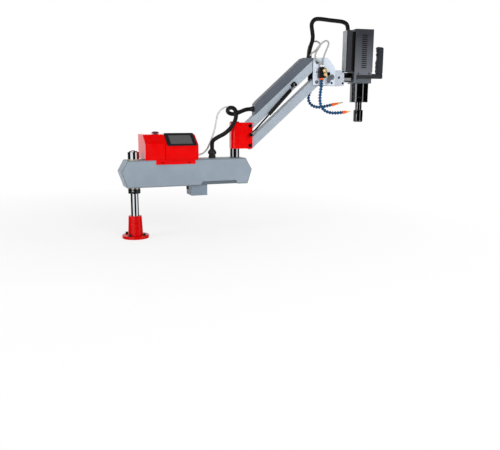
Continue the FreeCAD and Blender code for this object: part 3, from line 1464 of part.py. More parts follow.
repeat_along(hood, louvre, "Z_Axis", "louvre_pitch * (louvre_count - 1)", "louvre_count")
node("motor_cover", hood, head)

# Servo motor with its encoder cap
servo = new_body("servo_motor")
servo_pad = pad(servo, rectangle(new_sketch(servo, "XY_Plane", "gear_block_top"), "-servo_side / 2", "-servo_side / 2",
                                 "servo_side / 2", "servo_side / 2"), "servo_height")
servo_corners = [("%s servo_side / 2" % a, "%s servo_side / 2" % b) for a in ("-", "") for b in ("-", "")]
dress(servo, "Fillet", straight_edges(servo_pad, 2, servo_corners), "servo_corner")
pad(servo, rectangle(new_sketch(servo, "XY_Plane", "gear_block_top + servo_height"), "-encoder_side / 2",
                     "-encoder_side / 2", "encoder_side / 2", "encoder_side / 2"), "encoder_height")
node("servo_motor", servo, head)

# Cable box beside the cover, on a narrower spacer
wires = new_body("cable_box")
wires_pad = pad(wires, rectangle(new_sketch(wires, "XY_Plane", "cable_box_bottom"), "cable_box_left", "cable_box_front",
                                 "cable_box_right", "cable_box_back"), "cable_box_top - cable_box_bottom")
wires_corners = [("cable_box_left", "cable_box_front"), ("cable_box_left", "cable_box_back")]
dress(wires, "Fillet", straight_edges(wires_pad, 2, wires_corners), "cable_box_round")
pad(wires, rectangle(new_sketch(wires, "XY_Plane", "cable_box_bottom + cable_spacer_inset"), "cable_box_right",
                     "cable_box_front + cable_spacer_inset", "head_reach - cover_box_length / 2",
                     "cable_box_back - cable_spacer_inset"), "cable_box_top - cable_box_bottom - 2 * cable_spacer_inset")
node("cable_box", wires, arm)

# Reducer, spindle and quick-change tap holder
bevel = "reducer_bevel"
reducer = turned("reducer", [
    ("0", "reducer_bottom + reducer_bore_depth"),
    ("reducer_bore / 2", "reducer_bottom + reducer_bore_depth"),
    ("reducer_bore / 2", "reducer_bottom"),
    ("reducer_diameter / 2 - reducer_bevel", "reducer_bottom"),
    ("reducer_diameter / 2", "reducer_bottom + reducer_bevel"),
    ("reducer_diameter / 2", "gear_block_bottom - reducer_bevel"),
    ("reducer_diameter / 2 - reducer_bevel", "gear_block_bottom"),
    ("0", "gear_block_bottom")])
node("reducer", reducer, head)
flange_top = "reducer_bottom + reducer_bore_depth - air_gap"
flange_low = flange_top + " - shank_flange_height"
spindle = turned("spindle", [
    ("0", "holder_top - shank_nose_length"),
    ("shank_nose / 2", "holder_top - shank_nose_length"),
    ("shank_nose / 2", "holder_top"),
    ("shank_diameter / 2", "holder_top"),
    ("shank_diameter / 2", flange_low),
    ("shank_flange / 2", flange_low),
    ("shank_flange / 2", flange_top),
    ("0", flange_top)])
node("spindle", spindle, head)
holder = turned("tap_holder", [
    ("holder_bore / 2", "holder_bottom"),
    ("holder_diameter / 2 - holder_round", "holder_bottom"),
    ("holder_diameter / 2", "holder_bottom + holder_round"),
    ("holder_diameter / 2", "holder_top - holder_round / 4"),
    ("holder_diameter / 2 - holder_round / 4", "holder_top"),
    ("shank_nose / 2 + seat_clearance", "holder_top"),
    ("shank_nose / 2 + seat_clearance", "holder_top - shank_nose_length"),
    ("0", "holder_top - shank_nose_length"),
    ("0", "holder_bottom + holder_bore_depth"),
    ("holder_bore / 2", "holder_bottom + holder_bore_depth")])
node("tap_holder", holder, head)

# Handle: arm from the gear block, upright grip with two thumb buttons
bar = new_body("handle_arm")
pad(bar, rectangle(new_sketch(bar, "XZ_Plane"), "head_reach + %s / 2" % gear_length, "handle_bottom",
                   "handle_right", "handle_top"), "handle_width", symmetric=True)
node("handle_arm", bar, arm)
grip = new_body("hand_grip")
half_grip = "handle_width / 2"
grip_pad = pad(grip, rectangle(new_sketch(grip, "XY_Plane", "handle_top"), "grip_left", minus(half_grip), "handle_right",
                               half_grip), "grip_top - handle_top")
grip_corners = [(x, y) for x in ("grip_left", "handle_right") for y in (minus(half_grip), half_grip)]
dress(grip, "Fillet", straight_edges(grip_pad, 2, grip_corners), "grip_round")
button_wells = new_sketch(grip, "YZ_Plane", "grip_left")
for level in ("forward_button_level", "reverse_button_level"):
    circle(button_wells, "0", level, "button_diameter + 2 * running_clearance")
pocket(grip, button_wells, "button_proud + button_travel + air_gap", reverse=True)
node("hand_grip", grip, arm)
for label, level in (("forward_button", "forward_button_level"), ("reverse_button", "reverse_button_level")):
    node(label, cylinder("button_diameter", "2 * button_proud", "grip_left - button_proud", "0", level, "x"), arm)

doc.recompute()
os.makedirs("parts", exist_ok=True)
for thing in doc.Objects:
    if "Invalid" in thing.State or "Error" in thing.State:
        raise RuntimeError("%s failed" % thing.Name)
solid_count = 0
for label, thing in nodes.items():
    if thing.Shape.isNull() or not thing.Shape.isValid() or thing.Shape.Volume <= 0:
        raise RuntimeError("%s has no valid shape" % label)
    solid_count += len(thing.Shape.Solids)
for label, thing in nodes.items():
    thing.Shape.exportStep(os.path.join("parts", label + ".step"))
print("%d sub-parts, %d solids" % (len(nodes), solid_count))
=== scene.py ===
import bpy, bmesh
import json
import math
from mathutils import Matrix, Vector


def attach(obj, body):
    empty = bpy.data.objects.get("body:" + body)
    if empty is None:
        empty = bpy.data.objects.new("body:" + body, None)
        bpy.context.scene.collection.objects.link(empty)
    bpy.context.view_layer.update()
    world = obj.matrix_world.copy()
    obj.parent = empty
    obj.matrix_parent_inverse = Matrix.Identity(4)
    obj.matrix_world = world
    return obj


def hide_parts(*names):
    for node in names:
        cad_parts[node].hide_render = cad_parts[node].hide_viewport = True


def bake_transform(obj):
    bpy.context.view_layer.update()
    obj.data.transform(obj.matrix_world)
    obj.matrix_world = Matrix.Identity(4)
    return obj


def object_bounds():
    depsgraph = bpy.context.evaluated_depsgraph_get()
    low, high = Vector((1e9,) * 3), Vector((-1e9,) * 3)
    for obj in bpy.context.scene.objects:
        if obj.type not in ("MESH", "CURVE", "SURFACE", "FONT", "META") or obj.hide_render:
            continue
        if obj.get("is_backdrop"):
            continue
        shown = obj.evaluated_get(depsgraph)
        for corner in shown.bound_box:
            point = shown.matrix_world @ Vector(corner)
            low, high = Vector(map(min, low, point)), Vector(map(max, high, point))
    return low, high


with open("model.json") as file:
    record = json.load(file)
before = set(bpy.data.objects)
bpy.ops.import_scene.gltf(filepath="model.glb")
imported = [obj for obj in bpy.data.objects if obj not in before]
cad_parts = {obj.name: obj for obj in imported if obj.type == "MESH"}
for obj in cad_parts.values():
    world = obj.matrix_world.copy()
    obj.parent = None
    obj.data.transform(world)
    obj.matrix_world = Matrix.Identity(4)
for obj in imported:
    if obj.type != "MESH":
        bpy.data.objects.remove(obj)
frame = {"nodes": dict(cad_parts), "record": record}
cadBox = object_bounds()
collection = bpy.context.scene.collection
print("frame loaded:", len(frame["nodes"]), "nodes")

# Frames in millimetres: the arm swings on the elbow post, the links lean, the head hangs at the end
world = Matrix.Identity(4)
arm = {"spacing": 600, "yaw": -10, "rise": 42.6, "pivotReach": 82, "upperPivot": 622.6, "headReach": 769}
armFrame = Matrix.Translation((arm["spacing"], 0, 0)) @ Matrix.Rotation(math.radians(arm["yaw"]), 4, "Z")
lean = Matrix.Rotation(math.radians(-arm["rise"]), 4, "Y")
upperFrame = armFrame @ Matrix.Translation((arm["pivotReach"], 0, arm["upperPivot"])) @ lean
headFrame = armFrame @ Matrix.Translation((arm["headReach"], 0, 0))
toMetres = Matrix.Scale(0.001, 4)
alongX = Matrix.Rotation(math.radians(90), 4, "Y")
alongMinusY = Matrix.Rotation(math.radians(90), 4, "X")


def at(x, y, z):
    return Matrix.Translation((x, y, z))


# Camera at the photograph's viewpoint
view = {"place": (-0.6696, -3.2560, 0.7108), "yaw": 22.844, "pitch": 11.028, "roll": -0.376, "lens": 42.37}
yaw, pitch, roll = (math.radians(view[key]) for key in ("yaw", "pitch", "roll"))
forward = Vector((math.sin(yaw) * math.cos(pitch), math.cos(yaw) * math.cos(pitch), -math.sin(pitch)))
level = Vector((math.cos(yaw), -math.sin(yaw), 0))
down = forward.cross(level)
right = level * math.cos(roll) + down * math.sin(roll)
up = level * math.sin(roll) - down * math.cos(roll)
cameraData = bpy.data.cameras.new("camera")
cameraData.lens = view["lens"]
cameraData.sensor_width = 36
cameraData.clip_end = 60
camera = bpy.data.objects.new("camera", cameraData)
camera.matrix_world = Matrix.Translation(view["place"]) @ Matrix((right, up, -forward)).transposed().to_4x4()
collection.objects.link(camera)
bpy.context.scene.camera = camera


# Finishes
grainHeight = 0.0002


def newFinish(name, colour, roughness, metallic=0.0, **sockets):
    finish = bpy.data.materials.new(name)
    finish.use_nodes = True
    tree = finish.node_tree
    shader = tree.nodes["Principled BSDF"]
    shader.inputs["Base Color"].default_value = (*colour, 1)
    shader.inputs["Roughness"].default_value = roughness
    shader.inputs["Metallic"].default_value = metallic
    for socket, number in sockets.items():
        shader.inputs[socket.replace("_", " ")].default_value = number
    return finish, tree, shader


def noise(tree, scale, detail=3, stretch=(1, 1, 1)):
    place = tree.nodes.new("ShaderNodeTexCoord")
    mapping = tree.nodes.new("ShaderNodeMapping")
    mapping.inputs["Scale"].default_value = stretch
    texture = tree.nodes.new("ShaderNodeTexNoise")
    texture.inputs["Scale"].default_value = scale
    texture.inputs["Detail"].default_value = detail
    tree.links.new(place.outputs["Object"], mapping.inputs["Vector"])
    tree.links.new(mapping.outputs["Vector"], texture.inputs["Vector"])
    return texture.outputs["Fac"]


def spread(tree, factor, low, high, fromLow=0.3, fromHigh=0.7):
    # a factor carried to a range of numbers
    reach = tree.nodes.new("ShaderNodeMapRange")
    for socket, number in (("From Min", fromLow), ("From Max", fromHigh), ("To Min", low), ("To Max", high)):
        reach.inputs[socket].default_value = number
    tree.links.new(factor, reach.inputs["Value"])
    return reach.outputs["Result"]


def mottle(tree, shader, colour, marks, depth):
    # the colour a little darker and lighter over the surface
    blend = tree.nodes.new("ShaderNodeMix")
    blend.data_type = "RGBA"
    blend.inputs[6].default_value = (*[channel * (1 - depth) for channel in colour], 1)
    blend.inputs[7].default_value = (*[min(1, channel * (1 + depth)) for channel in colour], 1)
    tree.links.new(spread(tree, marks, 0, 1), blend.inputs[0])
    tree.links.new(blend.outputs[2], shader.inputs["Base Color"])


def wear(tree, shader, marks, low, high):
    # the roughness between two values over the surface
    tree.links.new(spread(tree, marks, low, high), shader.inputs["Roughness"])


def relief(tree, shader, marks, strength):
    bump = tree.nodes.new("ShaderNodeBump")
    bump.inputs["Strength"].default_value = strength
    bump.inputs["Distance"].default_value = grainHeight
    tree.links.new(marks, bump.inputs["Height"])
    tree.links.new(bump.outputs["Normal"], shader.inputs["Normal"])


def paint(name, colour, roughness, peel=0.12, shine=0.35):
    # enamel with a fine orange peel
    finish, tree, shader = newFinish(name, colour, roughness, Specular_IOR_Level=shine)
    mottle(tree, shader, colour, noise(tree, 14), 0.05)
    wear(tree, shader, noise(tree, 30, 5), roughness - 0.05, roughness + 0.07)
    relief(tree, shader, noise(tree, 700, 2), peel)
    return finish


def heightShadedPaint(name, low, high, span, roughness, peel, shine):
    # enamel with painted shade: darker towards the top and lighter towards the bottom, standing in for a
    # reflection that brightens lower down
    finish = paint(name, high, roughness, peel, shine)
    tree = finish.node_tree
    place = tree.nodes.new("ShaderNodeTexCoord")
    heights = tree.nodes.new("ShaderNodeSeparateXYZ")
    tree.links.new(place.outputs["Object"], heights.inputs[0])
    blend = tree.nodes.new("ShaderNodeMix")
    blend.data_type = "RGBA"
    blend.inputs[6].default_value = (*low, 1)
    tree.links.new(spread(tree, heights.outputs["Z"], 0, 1, *span), blend.inputs[0])
    colour = tree.nodes["Principled BSDF"].inputs["Base Color"]
    tree.links.new(colour.links[0].from_socket, blend.inputs[7])
    tree.links.new(blend.outputs[2], colour)
    return finish


def plastic(name, colour, roughness, grain=0.2, depth=0.06, shine=0.4):
    # moulded plastic or rubber with a fine grain
    finish, tree, shader = newFinish(name, colour, roughness, Specular_IOR_Level=shine)
    mottle(tree, shader, colour, noise(tree, 40, 4), depth)
    wear(tree, shader, noise(tree, 60, 4), roughness - 0.06, roughness + 0.08)
    relief(tree, shader, noise(tree, 1600, 2), grain)
    return finish


def machined(name, colour, roughness, depth=0.1, strength=0.12, metal=1.0, pull=60):
    # metal with fine tool marks that run level round the piece
    finish, tree, shader = newFinish(name, colour, roughness, metal)
    marks = noise(tree, 30, 4, (1, 1, pull))
    mottle(tree, shader, colour, marks, depth)
    wear(tree, shader, noise(tree, 45, 4, (1, 1, pull)), roughness - 0.08, roughness + 0.12)
    relief(tree, shader, marks, strength)
    return finish


def polished(name, colour, roughness):
    finish, tree, shader = newFinish(name, colour, roughness, 1.0)
    mottle(tree, shader, colour, noise(tree, 9), 0.03)
    wear(tree, shader, noise(tree, 22, 5), roughness * 0.6, roughness * 1.8)
    return finish


finishes = {
    "red": paint("redEnamel", (0.76, 0.0003, 0.0005), 0.16, 0.05, 0.3),
    "redBase": paint("redBaseEnamel", (0.60, 0.0003, 0.0006), 0.2, 0.06, 0.16),
    "beam": paint("beamEnamel", (0.265, 0.32, 0.375), 0.4),
    "beamShade": paint("beamShade", (0.115, 0.14, 0.168), 0.5),
    "beamEdgeShade": paint("beamEdgeShade", (0.19, 0.225, 0.265), 0.4),
    "screwBlack": plastic("screwBlack", (0.004, 0.004, 0.0045), 0.5, 0.1, 0.05, 0.2),
    "box": paint("boxEnamelShaded", (0.20, 0.25, 0.305), 0.42),
    "link": paint("linkEnamel", (0.365, 0.42, 0.48), 0.38),
    "cover": paint("coverEnamel", (0.098, 0.112, 0.138), 0.4, 0.2),
    "head": heightShadedPaint("headEnamelShaded", (0.115, 0.122, 0.145), (0.028, 0.031, 0.039), (0.94, 1.15), 0.36, 0.2,
                        0.7),
    "gear": machined("gearPlate", (0.15, 0.168, 0.195), 0.34, 0.2, 0.1, 0.6, 40),
    "cable": paint("cableEnamel", (0.03, 0.031, 0.038), 0.4, 0.15),
    "cablePaintedLight": paint("cablePaintedLightEnamel", (0.40, 0.425, 0.435), 0.42, 0.15),
    "plate": machined("brushedPlate", (0.68, 0.755, 0.85), 0.45, 0.04, 0.08, 0.15),
    "endBlock": machined("brushedBlock", (0.50, 0.55, 0.63), 0.42, 0.05, 0.08, 0.15),
    "pin": machined("pinSteel", (0.17, 0.18, 0.20), 0.36, 0.08, 0.1, 0.4),
    "black": paint("blackOxide", (0.008, 0.008, 0.009), 0.34, 0.1),
    "column": polished("chromedColumn", (0.46, 0.47, 0.49), 0.04),
    "post": polished("groundPost", (0.27, 0.28, 0.30), 0.05),
    "steel": machined("turnedSteel", (0.45, 0.46, 0.47), 0.26),
    "darkSteel": polished("darkSteel", (0.17, 0.172, 0.18), 0.06),
    "shank": polished("groundShank", (0.30, 0.30, 0.31), 0.06),
    "bronze": machined("bronze", (0.60, 0.40, 0.20), 0.32),
    "brass": machined("brass", (0.86, 0.62, 0.30), 0.22, 0.1, 0.12, 0.35),
    "cream": machined("creamRing", (0.70, 0.60, 0.38), 0.35, 0.1, 0.12, 0.4),
    "blackPlastic": plastic("blackPlastic", (0.022, 0.022, 0.023), 0.42),
    "bezel": plastic("bezelPlastic", (0.016, 0.016, 0.018), 0.45, 0.3, 0.06, 0.2),
    "glass": plastic("panelGlass", (0.10, 0.10, 0.10), 0.16, 0.02, 0.03, 0.3),
    "buttonRed": plastic("buttonRed", (0.045, 0.016, 0.014), 0.36, 0.08),
    "buttonGreen": plastic("buttonGreen", (0.016, 0.034, 0.02), 0.36, 0.08),
    "stopRed": plastic("stopRed", (0.13, 0.03, 0.032), 0.36, 0.08),
    "collarDark": plastic("collarDark", (0.05, 0.010, 0.008), 0.4, 0.1),
    "blueHose": plastic("blueHose", (0.0012, 0.062, 0.165), 0.38, 0.1),
    "orange": plastic("orangeNozzle", (0.95, 0.12, 0.004), 0.34, 0.1),
    "rubber": plastic("gripRubber", (0.024, 0.029, 0.036), 0.5, 0.5, 0.06, 0.3),
    "conduit": plastic("conduitSheath", (0.008, 0.008, 0.0085), 0.42, 0.3, 0.06, 0.2),
    "clearTube": plastic("clearTube", (0.62, 0.63, 0.62), 0.3, 0.02),
    "smokeTube": plastic("smokeTube", (0.38, 0.38, 0.37), 0.25, 0.02),
    "white": plastic("whiteFitting", (0.78, 0.78, 0.76), 0.3, 0.1),
}
print("finishes:", len(finishes))


# Making pieces
bodyOfNode = {node: body for body, names in frame["record"]["behaviour"]["bodies"].items() for node in names}
slotOfNode = {part["node"]: part["material_slot"] for part in frame["record"]["subparts"]}


def shadeByAngle(form, angle):
    limit = math.radians(angle)
    for face in form.faces:
        face.smooth = True
    for edge in form.edges:
        edge.smooth = len(edge.link_faces) == 2 and edge.calc_face_angle(0) < limit


def makePiece(name, form, finish, body, place=world, node=None, replaces=(), slot=None,
              bevel=0, angle=35, flip=True):
    # a finished form in millimetres, set in its frame and riding on its body, in a given node's stead
    if node:
        replaces, slot = (node,), slotOfNode[node]
    bmesh.ops.transform(form, matrix=toMetres @ place, verts=form.verts)
    bmesh.ops.remove_doubles(form, verts=form.verts, dist=1e-6)
    if flip:
        bmesh.ops.recalc_face_normals(form, faces=form.faces)
    shadeByAngle(form, angle)
    mesh = bpy.data.meshes.new(name)
    form.to_mesh(mesh)
    form.free()
    piece = bpy.data.objects.new(name, mesh)
    collection.objects.link(piece)
    mesh.materials.append(finishes[finish])
    if bevel:
        edging = piece.modifiers.new("edging", "BEVEL")
        edging.width = bevel * 0.001
        edging.segments = 2
        edging.limit_method = "ANGLE"
        edging.angle_limit = math.radians(angle)
        edging.harden_normals = True
        edging.miter_outer = "MITER_ARC"
    if body:
        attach(piece, body)
    if replaces:
        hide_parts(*replaces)
    return piece


def dressed(node, finish, bevel, rim=None, merge=True):
    # the node's own shape with merged faces and softened edges, a wider rounding where rim picks an edge
    form = bmesh.new()
    form.from_mesh(frame["nodes"][node].data)
    bmesh.ops.remove_doubles(form, verts=form.verts, dist=2e-6)
    if merge:
        bmesh.ops.dissolve_limit(form, angle_limit=math.radians(0.6), verts=form.verts, edges=form.edges)
    bmesh.ops.transform(form, matrix=Matrix.Scale(1000, 4), verts=form.verts)
    if rim:
        width, picked = rim
        rimEdges = [edge for edge in form.edges if len(edge.link_faces) == 2 and picked(edge)]
        bmesh.ops.bevel(form, geom=rimEdges, offset=width, offset_type="OFFSET", affect="EDGES", segments=3,
                        profile=0.5, material=1)
    return makePiece(node + "_dressed", form, finish, bodyOfNode[node], node=node, bevel=bevel, flip=False)


def refinish(piece, finish, place, chosen):
    # the faces that a rule picks, by middle and direction in a frame, get another finish
    piece.data.materials.append(finishes[finish])
    toFrame = (toMetres @ place).inverted()
    turn = place.to_3x3().inverted()
    for face in piece.data.polygons:
        if chosen(toFrame @ face.center, turn @ face.normal):
            face.material_index = len(piece.data.materials) - 1


def turned(profile, segments=64, closed=False):
    # (radius, height) pairs spun round Z
    form = bmesh.new()
    points = [form.verts.new((radius, 0, height)) for radius, height in profile]
    pairs = list(zip(points, points[1:])) + ([(points[-1], points[0])] if closed else [])
    edges = [form.edges.new(pair) for pair in pairs]
    bmesh.ops.spin(form, geom=points + edges, cent=(0, 0, 0), axis=(0, 0, 1), angle=2 * math.pi,
                   steps=segments, use_merge=True)
    bmesh.ops.remove_doubles(form, verts=form.verts, dist=1e-4)
    bmesh.ops.recalc_face_normals(form, faces=form.faces)
    return form


def block(low, high):
    form = bmesh.new()
    bmesh.ops.create_cube(form, size=1)
    bmesh.ops.scale(form, vec=[b - a for a, b in zip(low, high)], verts=form.verts)
    bmesh.ops.translate(form, vec=[(a + b) / 2 for a, b in zip(low, high)], verts=form.verts)
    return form


def shifted(form, grown, step):
    # the corners that an operation has made, moved
    bmesh.ops.translate(form, vec=step, verts=[g for g in grown if isinstance(g, bmesh.types.BMVert)])


def prism(outline, depth):
    # an outline in (x, z) drawn out along -Y
    form = bmesh.new()
    face = form.faces.new([form.verts.new((x, 0, z)) for x, z in outline])
    shifted(form, bmesh.ops.extrude_face_region(form, geom=[face])["geom"], (0, -depth, 0))
    bmesh.ops.recalc_face_normals(form, faces=form.faces)
    return form


def gathered(*parts):
    # several forms, each with its place, in one
    whole = bmesh.new()
    for form, place in parts:
        bmesh.ops.transform(form, matrix=place, verts=form.verts)
        loose = bpy.data.meshes.new("loose")
        form.to_mesh(loose)
        form.free()
        whole.from_mesh(loose)
        bpy.data.meshes.remove(loose)
    return whole


def capScrew(diameter, height):
    # round head with a hexagon socket, its foot at the origin
    form = bmesh.new()
    rim = bmesh.ops.create_circle(form, cap_ends=False, segments=24, radius=diameter / 2)["verts"]
    socket = bmesh.ops.create_circle(form, cap_ends=False, segments=6, radius=diameter / 4)["verts"]
    rimEdges = [edge for edge in form.edges if edge.verts[0] in rim]
    socketEdges = [edge for edge in form.edges if edge.verts[0] in socket]
    bmesh.ops.triangle_fill(form, use_beauty=True, edges=form.edges[:])
    for edges, drop in ((rimEdges, height), (socketEdges, height * 0.6)):
        wall = bmesh.ops.extrude_edge_only(form, edges=edges)["geom"]
        shifted(form, wall, (0, 0, -drop))
        bmesh.ops.contextual_create(form, geom=[g for g in wall if isinstance(g, bmesh.types.BMEdge)])
    bmesh.ops.translate(form, vec=(0, 0, height), verts=form.verts)
    bmesh.ops.recalc_face_normals(form, faces=form.faces)
    edges = [edge for edge in form.edges if abs(edge.calc_face_angle(0)) > 1 and
             all(abs(v.co.z - height) < 1e-4 and v.co.xy.length > diameter * 0.4 for v in edge.verts)]
    bmesh.ops.bevel(form, geom=edges, offset=diameter * 0.05, segments=2, profile=0.5, affect="EDGES",
                    material=-1)
    return form


def ring(outer, inner, low, high, edge=0.4, segments=32):
    return turned([(inner, low), (outer - edge, low), (outer, low + edge), (outer, high - edge),
                   (outer - edge, high), (inner, high)], segments, closed=True)


def screwsAt(name, places, diameter, height, finish, body, frameOfPlaces=world):
    screws = [(capScrew(diameter, height), place) for place in places]
    return makePiece(name, gathered(*screws), finish, body, frameOfPlaces, angle=30)


# Base and column
base = {"flange": 75, "thickness": 16, "foot": 42, "neck": 37, "height": 125, "seat": 14, "bolt": 16,
        "boltHeight": 10, "boltCircle": 58, "boltCount": 4, "washer": (10.5, 5.6), "washerHeight": 1.6}
column = {"radius": 22.5, "high": 487, "gap": 0.05, "plug": 11, "plugHeight": 2.5}
flange, thick, foot, neck, high, seat, *_ = base.values()
bore = column["radius"] + column["gap"]
socketProfile = [(0, 0), (flange - 1, 0), (flange, 1), (flange, thick - 1.2), (flange - 0.4, thick - 0.4),
                 (flange - 1.2, thick), (foot + 4, thick), (foot + 1.2, thick + 0.8), (foot, thick + 3.5),
                 (neck, high - 2), (neck - 0.6, high - 0.6), (neck - 2, high), (bore, high), (bore, seat),
                 (0, seat)]
makePiece("baseSocket", turned(socketProfile, 96), "redBase", "base", node="base_socket")
boltTurns = [math.radians(45 + 360 * i / base["boltCount"]) for i in range(base["boltCount"])]
boltPlaces = [Matrix.Rotation(turn, 4, "Z") @ at(base["boltCircle"], 0, thick) for turn in boltTurns]
washers = [(ring(*base["washer"], 0, base["washerHeight"]), place) for place in boltPlaces]
makePiece("baseWashers", gathered(*washers), "black", "base")
screwsAt("baseBolts", [place @ at(0, 0, base["washerHeight"]) for place in boltPlaces], base["bolt"],
         base["boltHeight"], "black", "base")
radius, high = column["radius"], column["high"]
columnProfile = [(0, seat), (radius, seat), (radius, high - 2), (radius - 0.6, high - 0.6),
                 (radius - 2, high), (3, high), (0, high - 3)]
makePiece("baseColumn", turned(columnProfile, 96), "column", "base", node="base_column")
plug, plugHigh = column["plug"], high + column["plugHeight"]
plugProfile = [(0, high), (plug, high), (plug, plugHigh - 1), (plug - 1, plugHigh), (0, plugHigh)]
makePiece("columnPlug", turned(plugProfile, 48), "black", "base")

# Height collar and thrust bearing
collar = {"radius": 34, "bore": 22.55, "low": 252, "high": 277, "edge": 1.5}
collarScrew = {"turn": -116, "sunk": 4, "height": 268, "head": 9, "headHeight": 4.6}
thrustRaces = ((32, 22.8, 277, 280), (30.5, 24.3, 280, 283.4), (32, 22.8, 283.4, 286.7))
makePiece("heightCollar", ring(*collar.values(), 72), "black", "collar", node="height_collar")
screwPlace = (Matrix.Rotation(math.radians(collarScrew["turn"]), 4, "Z") @
              at(collar["radius"] - collarScrew["sunk"], 0, collarScrew["height"]) @ alongX)
makePiece("collarScrew", capScrew(collarScrew["head"], collarScrew["headHeight"]), "steel", "collar",
          screwPlace, node="collar_screws")
for index, (outer, inner, low, high) in enumerate(thrustRaces):
    makePiece("thrustRace%d" % index, ring(outer, inner, low, high, 0.4, 72),
              "bronze" if index == 1 else "steel", "collar",
              replaces=("thrust_bearing",) if index == 0 else (), slot=slotOfNode["thrust_bearing"])

# Beam
beam = {"front": -60, "foot": 287, "notch": (380, 620), "notchHeight": 30, "shadeHeight": 25, "rim": 5.5,
        "shortest": 40}


def frontRim(edge):
    # a long edge between the front face and a side square to it, clear of the notch underneath; its rounding
    # takes a darker enamel as painted shade
    lowest, highest = sorted(face.normal.y for face in edge.link_faces)
    middle = (edge.verts[0].co + edge.verts[1].co) / 2
    onFront = lowest < -0.9 and abs(highest) < 0.1 and middle.y < beam["front"] + 0.5
    inNotch = middle.z < beam["foot"] + beam["notchHeight"] and beam["notch"][0] < middle.x < beam["notch"][1]
    return onFront and edge.calc_length() > beam["shortest"] and not inNotch


def shadedUnderFront(middle, facing):
    # the wall that stands back under the front face, painted darker as shade in the recess
    standsBack = beam["front"] + 1 < middle.y < 0
    return standsBack and facing.y < -0.9 and middle.z < beam["foot"] + beam["shadeHeight"]


beamShell = dressed("beam_shell", "beam", 1.4, rim=(beam["rim"], frontRim))
# painted shade: the rim's rounding takes a darker enamel
beamShell.data.materials.append(finishes["beamEdgeShade"])
refinish(beamShell, "beamShade", world, shadedUnderFront)
dressed("bearing_blocks", "beam", 0.8)
sleeve = {"outer": 31.5, "inner": 26, "low": 287, "high": 482}
bushes = {"outer": 25.95, "inner": 22.55, "spans": ((287, 327), (442, 482))}
creamRing = {"outer": 37, "inner": 31.55, "low": 437, "high": 442}
makePiece("columnSleeve", ring(*sleeve.values(), 1, 80), "column", "beam", node="column_sleeve")
bushForms = [(ring(bushes["outer"], bushes["inner"], *span, 0.6, 64), world) for span in bushes["spans"]]
makePiece("columnBushes", gathered(*bushForms), "bronze", "beam", node="column_bushes")
makePiece("columnRing", ring(*creamRing.values(), 1, 80), "cream", "beam", slot=slotOfNode["column_bushes"])
postFrame = at(arm["spacing"], 0, 0)
post = {"radius": 28, "journal": 18, "low": 312, "shoulder": 490.95, "high": 641.05, "cap": 27,
        "capHeight": 5, "screw": 18, "screwHeight": 8}
radius, journal, low, shoulder, high, cap, capHeight, *_ = post.values()
postProfile = [(0, low), (radius, low), (radius, shoulder - 0.5), (radius - 0.5, shoulder),
               (journal, shoulder), (journal, high), (0, high)]
makePiece("elbowPost", turned(postProfile, 96), "post", "beam", postFrame, node="elbow_post")
capHigh = high + capHeight
capProfile = [(0, high), (cap, high), (cap, capHigh - 1.5), (cap - 1.5, capHigh), (0, capHigh)]
makePiece("postCap", turned(capProfile, 72), "black", "beam", postFrame, node="post_cap")
screwsAt("postScrew", [at(0, 0, capHigh)], post["screw"], post["screwHeight"], "black", "beam", postFrame)

# Power box and mains inlet
# the power box takes the beam's grey darkened, as painted shade under the beam
dressed("power_box", "box", 0.7)
dressed("power_inlet", "blackPlastic", 0.4)
boxScrew = {"across": (327, 405), "face": -48, "height": 300, "head": 6, "headHeight": 2}
boxPlaces = [at(x, boxScrew["face"], boxScrew["height"]) @ alongMinusY for x in boxScrew["across"]]
screwsAt("powerBoxScrews", boxPlaces, boxScrew["head"], boxScrew["headHeight"], "black", "beam")

# Control housing, screen and emergency stop
dressed("control_housing", "red", 1.2)
dressed("control_base", "steel", 0)
dressed("servo_drive", "black", 0.5)
dressed("housing_screws", "black", 0.3)
dressed("screen_bezel", "bezel", 1.0)
dressed("screen_glass", "glass", 0.3)
stop = {"place": (142, 64, 574.5), "stem": 8, "stemFoot": -30, "collar": 17, "collarHeight": 2,
        "head": 22.4, "skirt": 19, "skirtFoot": 4.3, "foot": 6.3, "top": 15.6}
place, stem, stemFoot, outer, high, head, skirt, skirtFoot, foot, top = stop.values()
stopFrame = at(*place)
stopCollar = turned([(stem + 0.05, 0), (outer, 0), (outer, high - 0.6), (outer - 0.6, high),
                     (stem + 0.05, high)], closed=True)
makePiece("stopCollar", stopCollar, "collarDark", "beam", stopFrame, node="estop_collar")
stopProfile = [(0, stemFoot), (stem, stemFoot), (stem, foot), (skirt, foot), (skirt, skirtFoot),
               (head - 0.6, skirtFoot), (head, skirtFoot + 0.6), (head, top - 9.4), (head - 0.8, top - 7.4),
               (head - 2.6, top - 5.2), (head - 5.6, top - 2.9), (head - 9, top - 1.3),
               (head - 14, top - 0.3), (0, top)]
makePiece("stopButton", turned(stopProfile), "stopRed", "estop", stopFrame, node="estop_button")


def glandForm(radius, flangeHeight, height, bore):
    # hexagon foot, fluted nut and domed sealing cap
    low, dome = flangeHeight, height - flangeHeight
    foot = turned([(bore, 0), (radius, 0), (radius, low - 1), (radius - 1.5, low), (bore, low)], 6,
                  closed=True)
    nut = turned([(bore, low), (radius * 0.88, low), (radius * 0.88, low + dome * 0.2),
                  (radius * 1.1, low + dome * 0.26), (radius * 1.14, low + dome * 0.34),
                  (radius * 1.14, low + dome * 0.58), (radius * 1.04, low + dome * 0.7),
                  (radius * 0.8, low + dome * 0.9), (radius * 0.66, height), (bore, height)], 12,
                 closed=True)
    return gathered((foot, world), (nut, world))


